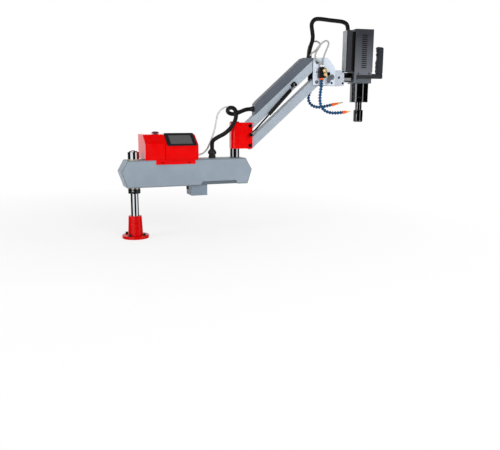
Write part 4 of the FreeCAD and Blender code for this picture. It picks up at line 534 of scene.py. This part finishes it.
gland = {"place": (464, 12, 437), "radius": 22, "flangeHeight": 14, "height": 50, "bore": 12.1}
place, *sizes = gland.values()
makePiece("beamGland", glandForm(*sizes), "blackPlastic", "beam", at(*place), node="beam_glands")
airPort = {"place": (356, 60, 451), "bore": 4.6, "body": 7, "neck": 6, "lip": 6.6, "length": 22}
place, bore, body, neck, lip, length = airPort.values()
airPortProfile = [(bore, 0), (body, 0), (body, length - 10), (neck, length - 9), (neck, length - 4),
                  (lip, length - 3), (lip, length), (bore, length)]
makePiece("beamAirPort", turned(airPortProfile, 32, closed=True), "blackPlastic", "beam", at(*place) @ alongX)

# Elbow
dressed("elbow_bracket", "red", 2.2)
dressed("elbow_bushes", "bronze", 0)
dressed("elbow_pins", "screwBlack", 0.5)

# Links and cable cover
dressed("lower_link", "link", 2.6)
dressed("upper_link", "link", 2.6)
dressed("lower_bushes", "bronze", 0)
dressed("upper_bushes", "bronze", 0)
dressed("cable_cover", "cover", 1.0)
dressed("cover_glands", "blackPlastic", 0.5)
dressed("strut_bracket", "black", 0.6)

# Gas strut, along its own line from the elbow to the link
strut = {"foot": (82, -72, 571.5), "angle": 47.567, "length": 388.047, "tube": 11, "bore": 5.2, "rod": 5,
         "rodSpan": (34, 190), "tubeStart": 158, "tubeEnd": 349, "eye": (10, 5.1, -7.2, 7.2), "stem": 7}
foot, angle, length, radius, bore, rod, rodSpan, start, end, eye, stem = strut.values()
strutFrame = armFrame @ at(*foot) @ Matrix.Rotation(math.radians(-angle), 4, "Y") @ alongX
tubeProfile = [(bore, start), (radius - 2.5, start), (radius - 1, start + 1), (radius, start + 3.5),
               (radius, start + 9), (radius - 0.9, start + 10.5), (radius - 0.9, start + 12.5),
               (radius, start + 14), (radius, end - 10), (radius - 0.9, end - 8.5),
               (radius - 0.9, end - 6.5), (radius, end - 5), (radius - 0.6, end - 1.5), (radius - 3, end),
               (bore, end)]
neckProfile = [(0, end - 2), (rod, end - 2), (rod, end + 6), (rod + 2.4, end + 7), (rod + 2.4, end + 26),
               (rod + 0.5, end + 30), (0, end + 30)]
rodProfile = [(radius, along) for radius, along in zip((0, rod, rod, 0), sorted(rodSpan * 2))]
makePiece("strutNeck", turned(neckProfile, 40), "steel", "strut_tube", strutFrame)
makePiece("strutTube", turned(tubeProfile, 48, closed=True), "black", "strut_tube", strutFrame,
          node="strut_cylinder")
makePiece("strutRod", turned(rodProfile, 40), "black", "strut_piston", strutFrame, node="strut_rod")
stemProfile = [(0, 8.3), (stem, 8.3), (stem, 33), (stem - 1, 35), (0, 35)]
for name, along, body, finish in (("strutFootEye", 0, "strut_piston", "black"),
                                  ("strutHeadEye", length, "strut_tube", "steel")):
    eyeForm = ring(*eye, 1.2, 40)
    makePiece(name, gathered((eyeForm, at(0, 0, along) @ alongMinusY)), finish, body, strutFrame)
makePiece("strutFootStem", turned(stemProfile, 32), "steel", "strut_piston", strutFrame)

# Front bracket
nearPlate = dressed("plate_near", "plate", 0.8)
# painted shade: the plate's left edge face takes a dark steel
refinish(nearPlate, "pin", armFrame, lambda middle, facing: facing.x < -0.9)
farPlate = dressed("plate_far", "plate", 0.8)
# painted shade: the far plate's inner face is black, inside the bracket
refinish(farPlate, "black", armFrame, lambda middle, facing: facing.y < -0.9)
dressed("end_block", "endBlock", 0.8)
dressed("front_pins", "pin", 0.5)
dressed("block_screws", "screwBlack", 0.3)
# a black rubber stop between the plates; its black also serves as painted shade inside the bracket
dressed("stop_bar", "blackPlastic", 0.4)
dressed("manifolds", "black", 0.6)
dressed("valve_lever", "screwBlack", 0.8)
valve = {"face": -50, "middle": -65, "front": -80, "ports": (499.33, 512.67), "union": (526, 943, 912),
         "root": (506, 889), "boss": (574, 905), "pivot": (548, 924), "plugs": ((516, 940), (522.5, 919)),
         "screws": ((643.5, 938.5), (643.5, 872), (618.5, 904.5), (574, 872)), "lever": 20.7, "leverWidth": 7}
fittings = {"sleeve": (8.6, 6.05, 955.3, 961, 1), "collar": (7.2, 6.05, 961.2, 972, 1.6),
            "union": (8.4, 7.05, 0.3, 12, 1, 6), "well": 6.4, "boss": 15.4, "root": (12.4, 11)}
sleeves = [(ring(*fittings["sleeve"]), at(x, valve["middle"], 0)) for x in valve["ports"]]
makePiece("portSleeves", gathered(*sleeves), "screwBlack", "front_bracket", armFrame)
collars = [(ring(*fittings["collar"]), at(x, valve["middle"], 0)) for x in valve["ports"]]
makePiece("portCollars", gathered(*collars), "white", "front_bracket", armFrame)
unionX, unionHigh, unionLow = valve["union"]
unions = [(ring(*fittings["union"]), at(unionX, valve["middle"], z) @ alongX) for z in (unionHigh, unionLow)]
plugProfile = [(0, -0.4), (10.5, -0.4), (10.5, 2.5), (10, 5), (8.6, 7.6), (6, 9.8), (3, 11), (0, 11.4)]
plugs = [(turned(plugProfile, 32), at(x, valve["front"], z) @ alongMinusY) for x, z in valve["plugs"]]
makePiece("brassUnions", gathered(*(unions + plugs)), "brass", "front_bracket", armFrame)
well, boss = fittings["well"], fittings["boss"]
wellProfile = [(0, 0.02), (well, 0.02), (well, 0.2), (0, 0.2)]
wells = [(turned(wellProfile, 32), at(x, valve["face"], z) @ alongMinusY) for x, z in valve["screws"]]
makePiece("screwWells", gathered(*wells), "screwBlack", "front_bracket", armFrame)
pivotX, pivotZ = valve["pivot"]
leverEnds = [(10.6, -0.5, -43.5, 180, 360), (6, 0, -16, 0, 180)]  # radius, centre, first and last bearing
leverOutline = [(x + reach * math.cos(math.radians(turn)), z + reach * math.sin(math.radians(turn)))
                for reach, x, z, begin, end in leverEnds for turn in range(begin, end + 1, 15)]
makePiece("leverSleeve", prism(leverOutline, valve["leverWidth"]), "cover", "valve",
          armFrame @ at(pivotX, valve["face"] - valve["lever"], pivotZ), bevel=1.5)
rootX, rootZ = valve["root"]
makePiece("hoseRootRing", ring(*fittings["root"], rootZ + 0.4, rootZ + 9, 1, 40), "orange", "front_bracket",
          armFrame @ at(rootX, valve["middle"], 0))
bossX, bossZ = valve["boss"]
bossPlace = armFrame @ at(bossX, valve["face"] - 2.5, bossZ) @ alongMinusY
bossProfile = [(0, 0.05), (boss, 0.05), (boss, 0.5), (boss - 0.6, 0.9), (0, 0.9)]
makePiece("bossFace", turned(bossProfile, 48), "pin", "front_bracket", bossPlace)

# Head
dressed("tilt_shaft", "darkSteel", 0.8)
dressed("gear_block", "gear", 1.0)
# the motor cover's enamel is darker towards the top as painted shade
motorCover = dressed("motor_cover", "head", 0, merge=False)
# painted shade: the cover's left side is black, in shadow beside the cable box
refinish(motorCover, "black", headFrame, lambda middle, facing: facing.x < -0.9)
dressed("servo_motor", "black", 1.0)
cableBox = dressed("cable_box", "cable", 0.8)
cableLeft, cableRight = 661, 694


def cableShadeFaces(middle, facing):
    # the part behind the door's face and the slant at its left edge, painted black as shade
    onSlant = middle.x < cableLeft + 4 and facing.y < -0.1 and facing.x < -0.1
    return middle.x > cableRight + 0.5 or onSlant


# painted light: the cable box's left face takes a light grey where the lamp strikes it
refinish(cableBox, "cablePaintedLight", armFrame, lambda middle, facing: facing.x < -0.9)
refinish(cableBox, "black", armFrame, cableShadeFaces)
louvre = {"width": 32, "count": 17, "pitch": 11.5, "first": 964, "screen": 57, "thick": 0.8, "margin": 4}
across, margin, thin = louvre["width"] / 2 + louvre["margin"], louvre["margin"], louvre["thick"] / 2
low, high = louvre["first"] - margin, louvre["first"] + (louvre["count"] - 1) * louvre["pitch"] + margin
# painted shade: black sheets just inside the cover behind the louvre slots keep the slots dark
louvreShadeSheets = [(block((-across, depth - thin, low), (across, depth + thin, high)), world)
                 for depth in (-louvre["screen"], louvre["screen"])]
makePiece("louvreShadeSheets", gathered(*louvreShadeSheets), "black", "head", headFrame)
strap = {"left": -41.5, "right": 54, "low": 900, "high": 920, "front": -63.5, "back": -57.2}
strapForm = block((strap["left"], strap["front"], strap["low"]),
                  (strap["right"], strap["back"], strap["high"]))
makePiece("handleStrap", strapForm, "blackPlastic", "head", headFrame, bevel=1.2)
tabScrew = {"across": (-34, 34), "face": -60, "height": 929, "head": 8, "headHeight": 3}
tabPlaces = [Matrix.Rotation(math.radians(turn), 4, "Z") @ at(x, tabScrew["face"], tabScrew["height"]) @
             alongMinusY for turn in (0, 180) for x in tabScrew["across"]]
screwsAt("coverScrews", tabPlaces, tabScrew["head"], tabScrew["headHeight"], "black", "head", headFrame)

# Reducer, spindle and tap holder
reducer = {"radius": 54.5, "bore": 31, "low": 762.5, "recess": 786.5, "seam": 790, "high": 873}
radius, bore, low, recess, seam, high = reducer.values()
reducerProfile = [(0, recess), (bore, recess), (bore, low), (radius - 2, low), (radius - 0.5, low + 0.7),
                  (radius, low + 2), (radius, low + 2.7), (radius, seam), (radius - 0.5, seam + 0.6),
                  (radius - 0.5, seam + 1.6), (radius, seam + 2.2), (radius, high - 4.1),
                  (radius, high - 3.5), (radius - 0.5, high - 2.5), (radius - 1.5, high - 2),
                  (radius - 1.5, high), (0, high)]
makePiece("reducerBody", turned(reducerProfile, 96), "darkSteel", "head", headFrame, node="reducer")
spindle = {"radius": 20, "tail": 15.5, "low": 691, "shoulder": 717, "groove": 744, "flange": 30,
           "seat": 778.2, "high": 786.2}
radius, tail, low, shoulder, groove, flange, seat, high = spindle.values()
spindleProfile = [(0, low), (tail, low), (tail, shoulder), (radius - 1.5, shoulder),
                  (radius, shoulder + 1.5), (radius, groove), (radius - 0.6, groove + 0.6),
                  (radius - 0.6, groove + 2.4), (radius, groove + 3), (radius, seat), (flange, seat),
                  (flange, high), (0, high)]
makePiece("spindleShank", turned(spindleProfile), "shank", "spindle", headFrame, node="spindle")
holder = {"radius": 28.5, "mouth": 9.5, "bore": 15.55, "low": 645, "groove": 668, "pocket": 685, "floor": 691,
          "high": 717}
radius, mouth, bore, low, groove, pocket, floorHeight, high = holder.values()
holderProfile = [(mouth, low), (radius - 8, low), (radius - 5, low + 0.8), (radius - 2.5, low + 2.6),
                 (radius - 0.7, low + 5.2), (radius, low + 8), (radius, low + 8.7), (radius, groove),
                 (radius - 1.1, groove + 1), (radius - 1.1, groove + 4), (radius, groove + 5),
                 (radius, high - 3.7), (radius, high - 3), (radius - 0.7, high - 1), (radius - 2, high),
                 (bore, high), (bore, floorHeight), (0, floorHeight), (0, pocket), (mouth, pocket)]
makePiece("tapHolder", turned(holderProfile, 72), "darkSteel", "spindle", headFrame, node="tap_holder")

# Handle
dressed("handle_arm", "rubber", 4.5)
grip = {"left": 878, "bulge": 872, "right": 913, "low": 932, "high": 1088, "width": 32}
left, bulge, right, low, high, width = grip.values()
gripOutline = [(right, low + 0.05), (right, high - 9), (right - 2, high - 3), (right - 7, high),
               (left + 2, high + 2), (bulge + 2, high + 1), (bulge, high - 3), (bulge + 1, high - 8),
               (left, high - 13), (left, low + 82), (bulge + 2, low + 74), (bulge, low + 64),
               (bulge + 3, low + 52), (bulge, low + 42), (bulge + 3, low + 30), (bulge, low + 20),
               (bulge + 2, low + 8), (left, low + 0.05)]
makePiece("gripBody", prism(gripOutline, width), "rubber", "head", armFrame @ at(0, width / 2, 0),
          node="hand_grip", bevel=5, angle=50)
dressed("forward_button", "buttonGreen", 0.8)
dressed("reverse_button", "buttonRed", 0.8)
print("rigid pieces made")


# Cords: NURBS routes with the part's own points, in metres
armMetres = toMetres @ armFrame @ Matrix.Scale(1000, 4)
upperMetres = toMetres @ upperFrame @ Matrix.Scale(1000, 4)
conduitRadius, airRadius, portOffset = 0.012, 0.005, 0.028


def routeLine(name, points, resolution=10):
    curve = bpy.data.curves.new(name, "CURVE")
    curve.dimensions = "3D"
    spline = curve.splines.new("NURBS")
    spline.points.add(len(points) - 1)
    for knot, point in zip(spline.points, points):
        knot.co = (*point, 1)
    spline.order_u = 3
    spline.use_endpoint_u = True
    spline.resolution_u = resolution
    return curve


def meshOf(curve):
    holder = bpy.data.objects.new(curve.name + "Line", curve)
    collection.objects.link(holder)
    bpy.context.view_layer.update()
    mesh = bpy.data.meshes.new_from_object(holder.evaluated_get(bpy.context.evaluated_depsgraph_get()))
    bpy.data.objects.remove(holder)
    return mesh


def linePoints(curve):
    # the spline's own line as points
    return [vertex.co.copy() for vertex in meshOf(curve).vertices]


def tubePiece(name, points, radius, finish, replaces):
    # a round tube along a stretch of line
    curve = bpy.data.curves.new(name, "CURVE")
    curve.dimensions = "3D"
    spline = curve.splines.new("POLY")
    spline.points.add(len(points) - 1)
    for knot, point in zip(spline.points, points):
        knot.co = (*point, 1)
    curve.bevel_depth = radius
    curve.bevel_resolution = 6
    curve.use_fill_caps = True
    mesh = meshOf(curve)
    mesh.name = name
    form = bmesh.new()
    form.from_mesh(mesh)
    bmesh.ops.remove_doubles(form, verts=form.verts, dist=1e-6)
    bmesh.ops.recalc_face_normals(form, faces=form.faces)
    shadeByAngle(form, 50)
    form.to_mesh(mesh)
    form.free()
    mesh.materials.clear()
    mesh.materials.append(finishes[finish])
    piece = bpy.data.objects.new(name, mesh)
    collection.objects.link(piece)
    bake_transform(piece)
    if replaces:
        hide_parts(replaces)
    return piece


def jointedCord(name, ends, route, share, radius, finish, node):
    # a cord in two lengths; the first takes share tenths of it
    line = linePoints(routeLine(name + "Route", route))
    split = len(line) * share // 10
    tubePiece(name + ends[0], line[:split + 1], radius, finish, node)
    tubePiece(name + ends[1], line[split:], radius, finish, None)


def leaving(glandFrame, side, height):
    return glandFrame @ Vector((0, side * portOffset, height))


def glandFrameAt(along, over, turn):
    return upperMetres @ Matrix.Translation((along, 0, over)) @ Matrix.Rotation(math.radians(turn), 4, "Y")


lowerGland = glandFrameAt(0.086908, 0.050, -90 + arm["rise"])
upperGland = glandFrameAt(0.532, 0.040816, arm["rise"])
lowerRoute = [Vector(point) for point in (
    (0.464, 0.012, 0.468), (0.464, 0.012, 0.502), (0.462, 0.006, 0.534), (0.484, -0.020, 0.556),
    (0.522, -0.048, 0.578), (0.562, -0.066, 0.620), (0.582, -0.068, 0.664), (0.586, -0.060, 0.700),
    (0.580, -0.044, 0.722), (0.566, -0.014, 0.727), (0.560, 0.016, 0.712), (0.574, 0.034, 0.694),
    (0.606, 0.028, 0.686), (0.640, 0.008, 0.702))]
lowerRoute += [leaving(lowerGland, 0, 0.040), leaving(lowerGland, 0, 0.002)]
jointedCord("conduitLower", ("BeamEnd", "ArmEnd"), lowerRoute, 6, conduitRadius, "conduit",
            "conduit_lower")

upperRoute = [leaving(upperGland, 0, 0.002), leaving(upperGland, 0, 0.032)]
upperRoute += [armMetres @ (Vector(point) * 0.001) for point in (
    (454, 0, 1082), (469, 0, 1126), (461, 0, 1174), (455, 0, 1208), (474, 0, 1236), (512, 0, 1238),
    (560, 0, 1233), (612, 0, 1230), (652, -6, 1226), (678, -14, 1208), (678, -14, 1176))]
jointedCord("conduitUpper", ("ArmEnd", "HeadEnd"), upperRoute, 5, conduitRadius, "conduit",
            "conduit_upper")

airRoute = [Vector(point) for point in (
    (0.366, 0.060, 0.451), (0.408, 0.060, 0.451), (0.443, 0.060, 0.474), (0.465, 0.060, 0.513),
    (0.483, 0.060, 0.558), (0.500, 0.060, 0.606), (0.508, 0.060, 0.658), (0.522, 0.060, 0.702),
    (0.556, 0.058, 0.728), (0.590, 0.050, 0.730), (0.620, 0.042, 0.712), (0.648, 0.032, 0.706))]
airRoute += [leaving(lowerGland, 1, 0.0288), leaving(lowerGland, 1, 0.002)]
jointedCord("airTubeLower", ("BeamEnd", "ArmEnd"), airRoute, 6, airRadius, "clearTube",
            "air_tube_lower")

manifold = {"left": 486, "width": 40}
portX = [manifold["left"] + manifold["width"] * share / 3 for share in (1, 2)]
portY = valve["middle"]
airA = [(472, -31, 1052), (490, -36, 1076), (508, -43, 1098), (530, -54, 1113), (546, -61, 1101),
        (539, -65, 1078), (526, -66, 1050), (515, -66, 1022), (portX[1], portY, 988),
        (portX[1], portY, 966)]
airB = [(448, 28, 1066), (455, 26, 1092), (474, 21, 1110), (494, 10, 1114), (508, -4, 1103),
        (508, -16, 1087), (497, -27, 1073), (483, -40, 1057), (468, -55, 1041), (461, -65, 1017),
        (474, -67, 996), (portX[0], portY, 988), (portX[0], portY, 966)]
for name, side, points, node in (("airTubeFront", -1, airA, "air_tubes_upper"),
                                 ("airTubeBack", 1, airB, None)):
    points = [armMetres @ (Vector(point) * 0.001) for point in points]
    points = [leaving(upperGland, side, 0.002), leaving(upperGland, side, 0.024)] + points
    line = linePoints(routeLine(name + "Route", points))
    tubePiece(name, line, airRadius, "smokeTube", node)

# Coolant hoses: ball-and-socket segments threaded on the route
hoseRoutes = {
    "Near": (-1, [(rootX, 65, rootZ), (rootX, 65, rootZ - 27), (501, 71, 836), (495, 75, 806), (494, 77, 770),
                  (499, 79, 740), (518, 81, 714), (550, 83, 700), (590, 84, 697), (634, 85, 702)]),
    "Far": (1, [(rootX, 65, rootZ), (rootX, 65, rootZ - 27), (488, 70, 834), (472, 73, 800), (474, 75, 768),
                (494, 77, 743), (528, 79, 731), (564, 80, 733), (598, 81, 741), (626, 81, 747)])}
hose = {"radius": 10.4, "pitch": 17}
# one segment as shares of the radius and of the pitch
segmentShares = ((0.40, 0), (0.56, 0.01), (0.74, 0.08), (0.92, 0.18), (1.0, 0.30), (1.0, 0.46),
                 (0.92, 0.54), (0.72, 0.60), (0.58, 0.68), (0.54, 0.80), (0.56, 0.94), (0.54, 1.06),
                 (0.40, 1.08))
segmentProfile = [(across * hose["radius"], along * hose["pitch"]) for across, along in segmentShares]
nozzle = {"radius": 9.5, "tip": 5.6, "bore": 3.2, "spout": 6, "spoutBore": 1.2}
nozzleReaches = {"Near": (28, 52), "Far": (42, 76)}  # the nozzle's length and the spout's end
for label, (side, points) in hoseRoutes.items():
    points = [armMetres @ (Vector((x, side * y, z)) * 0.001) for x, y, z in points]
    line = linePoints(routeLine("hose%sRoute" % label, points, 24))
    lengths = [0.0]
    for a, b in zip(line, line[1:]):
        lengths.append(lengths[-1] + (b - a).length)
    count = round(lengths[-1] * 1000 / hose["pitch"])
    pitch = lengths[-1] / count

    def spotAt(distance):
        distance = min(max(distance, 0), lengths[-1])
        index = min(max(i for i, length in enumerate(lengths) if length <= distance + 1e-9), len(line) - 2)
        share = (distance - lengths[index]) / (lengths[index + 1] - lengths[index])
        return line[index].lerp(line[index + 1], share), (line[index + 1] - line[index]).normalized()

    parts = []
    for number in range(count):
        start, _ = spotAt(number * pitch)
        end, _ = spotAt((number + 1) * pitch)
        turn = (end - start).to_track_quat("Z", "Y").to_matrix().to_4x4()
        parts.append((turned(segmentProfile, 20, closed=True), Matrix.Translation(start * 1000) @ turn))
    piece = makePiece("coolantHose" + label, gathered(*parts), "blueHose", "front_bracket",
                      replaces=("coolant_hoses",) if label == "Near" else (),
                      slot=slotOfNode["coolant_hoses"], angle=45)
    direction = (points[-1] - points[-2]).normalized()
    turn = direction.to_track_quat("Z", "Y").to_matrix().to_4x4()
    tip = Matrix.Translation(points[-1] * 1000) @ turn
    body, reach = nozzleReaches[label]
    radius, tipRadius, bore, spoutRadius, spoutBore = nozzle.values()
    nozzleProfile = [(bore, 0), (radius - 0.5, 0), (radius, 1), (radius, 9), (radius - 0.4, 10),
                     (radius - 0.4, 14), (radius - 0.9, 15), (tipRadius + 0.8, body - 3), (tipRadius, body),
                     (bore, body)]
    nozzlePiece = makePiece("hoseNozzle" + label, turned(nozzleProfile, 32, closed=True), "orange",
                            "front_bracket", tip, replaces=("hose_nozzles",) if label == "Near" else (),
                            slot=slotOfNode["hose_nozzles"])
    spoutProfile = [(spoutBore, body - 6), (spoutRadius, body), (spoutRadius, body + 5),
                    (spoutRadius - 1, body + 6), (spoutBore + 1.4, reach), (spoutBore, reach)]
    spout = makePiece("hoseSpout" + label, turned(spoutProfile, 24, closed=True), "brass", "front_bracket",
                      tip)
print("cords made")


# Studio: pale floor, soft lamps and white surroundings
studio = {"sky": 0.45, "floor": 0.93, "floorRadius": 14, "floorHeight": -0.0005, "fade": 0.45,
          "panelGlow": 1.6}


def joined(tree, operation, first, second):
    # two values in one
    node = tree.nodes.new("ShaderNodeMath")
    node.operation = operation
    tree.links.new(first, node.inputs[0])
    tree.links.new(second, node.inputs[1])
    return node.outputs[0]


def blended(tree, factor, first, second, surface):
    # the first shader where the factor is 0, the second where it is 1
    mix = tree.nodes.new("ShaderNodeMixShader")
    for index, output in enumerate((factor, first, second)):
        tree.links.new(output, mix.inputs[index])
    tree.links.new(mix.outputs[0], surface)


def studioWorld():
    # soft white light, and plain white where it is seen
    sky = bpy.data.worlds.new("studio")
    bpy.context.scene.world = sky
    sky.use_nodes = True
    tree = sky.node_tree
    tree.nodes.clear()
    glows = []
    for strength in (studio["sky"], 1):
        glow = tree.nodes.new("ShaderNodeBackground")
        glow.inputs["Color"].default_value = (1, 1, 1, 1)
        glow.inputs["Strength"].default_value = strength
        glows.append(glow.outputs[0])
    rays = tree.nodes.new("ShaderNodeLightPath").outputs
    seen = joined(tree, "MAXIMUM", rays["Is Camera Ray"], rays["Is Glossy Ray"])
    seen = joined(tree, "MAXIMUM", seen, rays["Is Transmission Ray"])
    blended(tree, seen, *glows, tree.nodes.new("ShaderNodeOutputWorld").inputs["Surface"])


studioWorld()
lamps = (  # name, place, aim, size, watts
    ("keyLamp", (-3.2, -0.7, 1.6), (0.6, 0, 0.6), 1.8, 52),
    ("frontLamp", (1.0, -3.5, 2.0), (0.7, 0, 0.6), 1.8, 76),
    ("rightLamp", (3.4, -0.8, 1.6), (0.8, 0, 0.6), 1.6, 10),
)
for name, place, aim, size, watts in lamps:
    lampData = bpy.data.lights.new(name, "AREA")
    lampData.shape = "SQUARE"
    lampData.size = size
    lampData.energy = watts
    lamp = bpy.data.objects.new(name, lampData)
    lamp.visible_glossy = False
    turn = (Vector(aim) - Vector(place)).to_track_quat("-Z", "Y").to_matrix().to_4x4()
    lamp.matrix_world = Matrix.Translation(place) @ turn
    collection.objects.link(lamp)


def floorFinish():
    # pale near the part, plain white further out
    finish, tree, shader = newFinish("floorPale", [studio["floor"]] * 3, 0.9)
    place = tree.nodes.new("ShaderNodeTexCoord")
    mapping = tree.nodes.new("ShaderNodeMapping")
    mapping.inputs["Scale"].default_value = [studio["fade"]] * 3
    fade = tree.nodes.new("ShaderNodeTexGradient")
    fade.gradient_type = "SPHERICAL"
    tree.links.new(place.outputs["Object"], mapping.inputs["Vector"])
    tree.links.new(mapping.outputs["Vector"], fade.inputs["Vector"])
    rays = tree.nodes.new("ShaderNodeLightPath").outputs
    seen = joined(tree, "MAXIMUM", rays["Is Camera Ray"], rays["Is Glossy Ray"])
    far = joined(tree, "MULTIPLY", spread(tree, fade.outputs["Fac"], 1, 0.72, 0.0, 0.8), seen)
    glow = tree.nodes.new("ShaderNodeEmission")
    glow.inputs["Strength"].default_value = 1
    blended(tree, far, shader.outputs[0], glow.outputs[0], tree.nodes["Material Output"].inputs["Surface"])
    return finish


def studioPiece(name, form, finish):
    mesh = bpy.data.meshes.new(name)
    form.to_mesh(mesh)
    form.free()
    mesh.materials.append(finish)
    piece = bpy.data.objects.new(name, mesh)
    collection.objects.link(piece)
    return piece


def disc(radius, segments, centre):
    form = bmesh.new()
    bmesh.ops.create_circle(form, cap_ends=True, segments=segments, radius=radius)
    bmesh.ops.translate(form, vec=centre, verts=form.verts)
    return form


def screenWall(spots, low, high):
    # an upright sheet over a row of spots
    form = bmesh.new()
    rows = [[form.verts.new((x, y, z)) for z in (low, high)] for x, y in spots]
    for (a, b), (c, d) in zip(rows, rows[1:]):
        form.faces.new((a, c, d, b))
    return form


floor = studioPiece("floor", disc(studio["floorRadius"], 64, (0, 0, 0)), floorFinish())
floor.location = (0, 0, studio["floorHeight"])
floor.visible_glossy = False
floor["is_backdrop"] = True

# Seen in the reflections only: dark surroundings with an opening behind, and soft panels in front of the part
darkScreen, _, _ = newFinish("screenBlack", (0.004, 0.004, 0.004), 0.9)
softPanel, _, _ = newFinish("panelWhite", (0, 0, 0), 0.9, Emission_Color=(1, 1, 1, 1),
                            Emission_Strength=studio["panelGlow"])
surround = {"centre": (0.7, 0), "radius": 4.6, "from": 135, "to": 400, "steps": 48, "low": -5, "high": 3.4}
panels = {"leftPanel": ([(-1.4, -0.55), (-0.3, -0.841)], -1.2, 2.6),
          "leftHighPanel": ([(-0.3, -0.841), (0.0, -0.92)], 0.62, 1.3),
          "rightPanel": ([(1.6, -2.73), (1.92, -0.6)], -0.8, 0.6),
          "highPanel": ([(1.752, -1.717), (1.832, -1.182)], 0.6, 1.08)}
(centreX, centreY), radius = surround["centre"], surround["radius"]
bearings = [math.radians(surround["from"] + (surround["to"] - surround["from"]) * step / surround["steps"])
            for step in range(surround["steps"] + 1)]
wallSpots = [(centreX + radius * math.cos(bearing), centreY + radius * math.sin(bearing))
             for bearing in bearings]
screens = [("darkWall", screenWall(wallSpots, surround["low"], surround["high"]), darkScreen),
           ("darkCeiling", disc(radius, 48, (centreX, centreY, surround["high"])), darkScreen)]
screens += [(name, screenWall(*panel), softPanel) for name, panel in panels.items()]
for name, form, finish in screens:
    screen = studioPiece(name, form, finish)
    screen.visible_camera = screen.visible_diffuse = False
    screen.visible_shadow = screen.visible_transmission = False
    screen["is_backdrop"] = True

scene = bpy.context.scene
scene.view_settings.view_transform = "Standard"
sizes = {"cad": [list(corner) for corner in cadBox], "visual": [list(corner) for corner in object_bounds()]}
print("studio made", sizes)
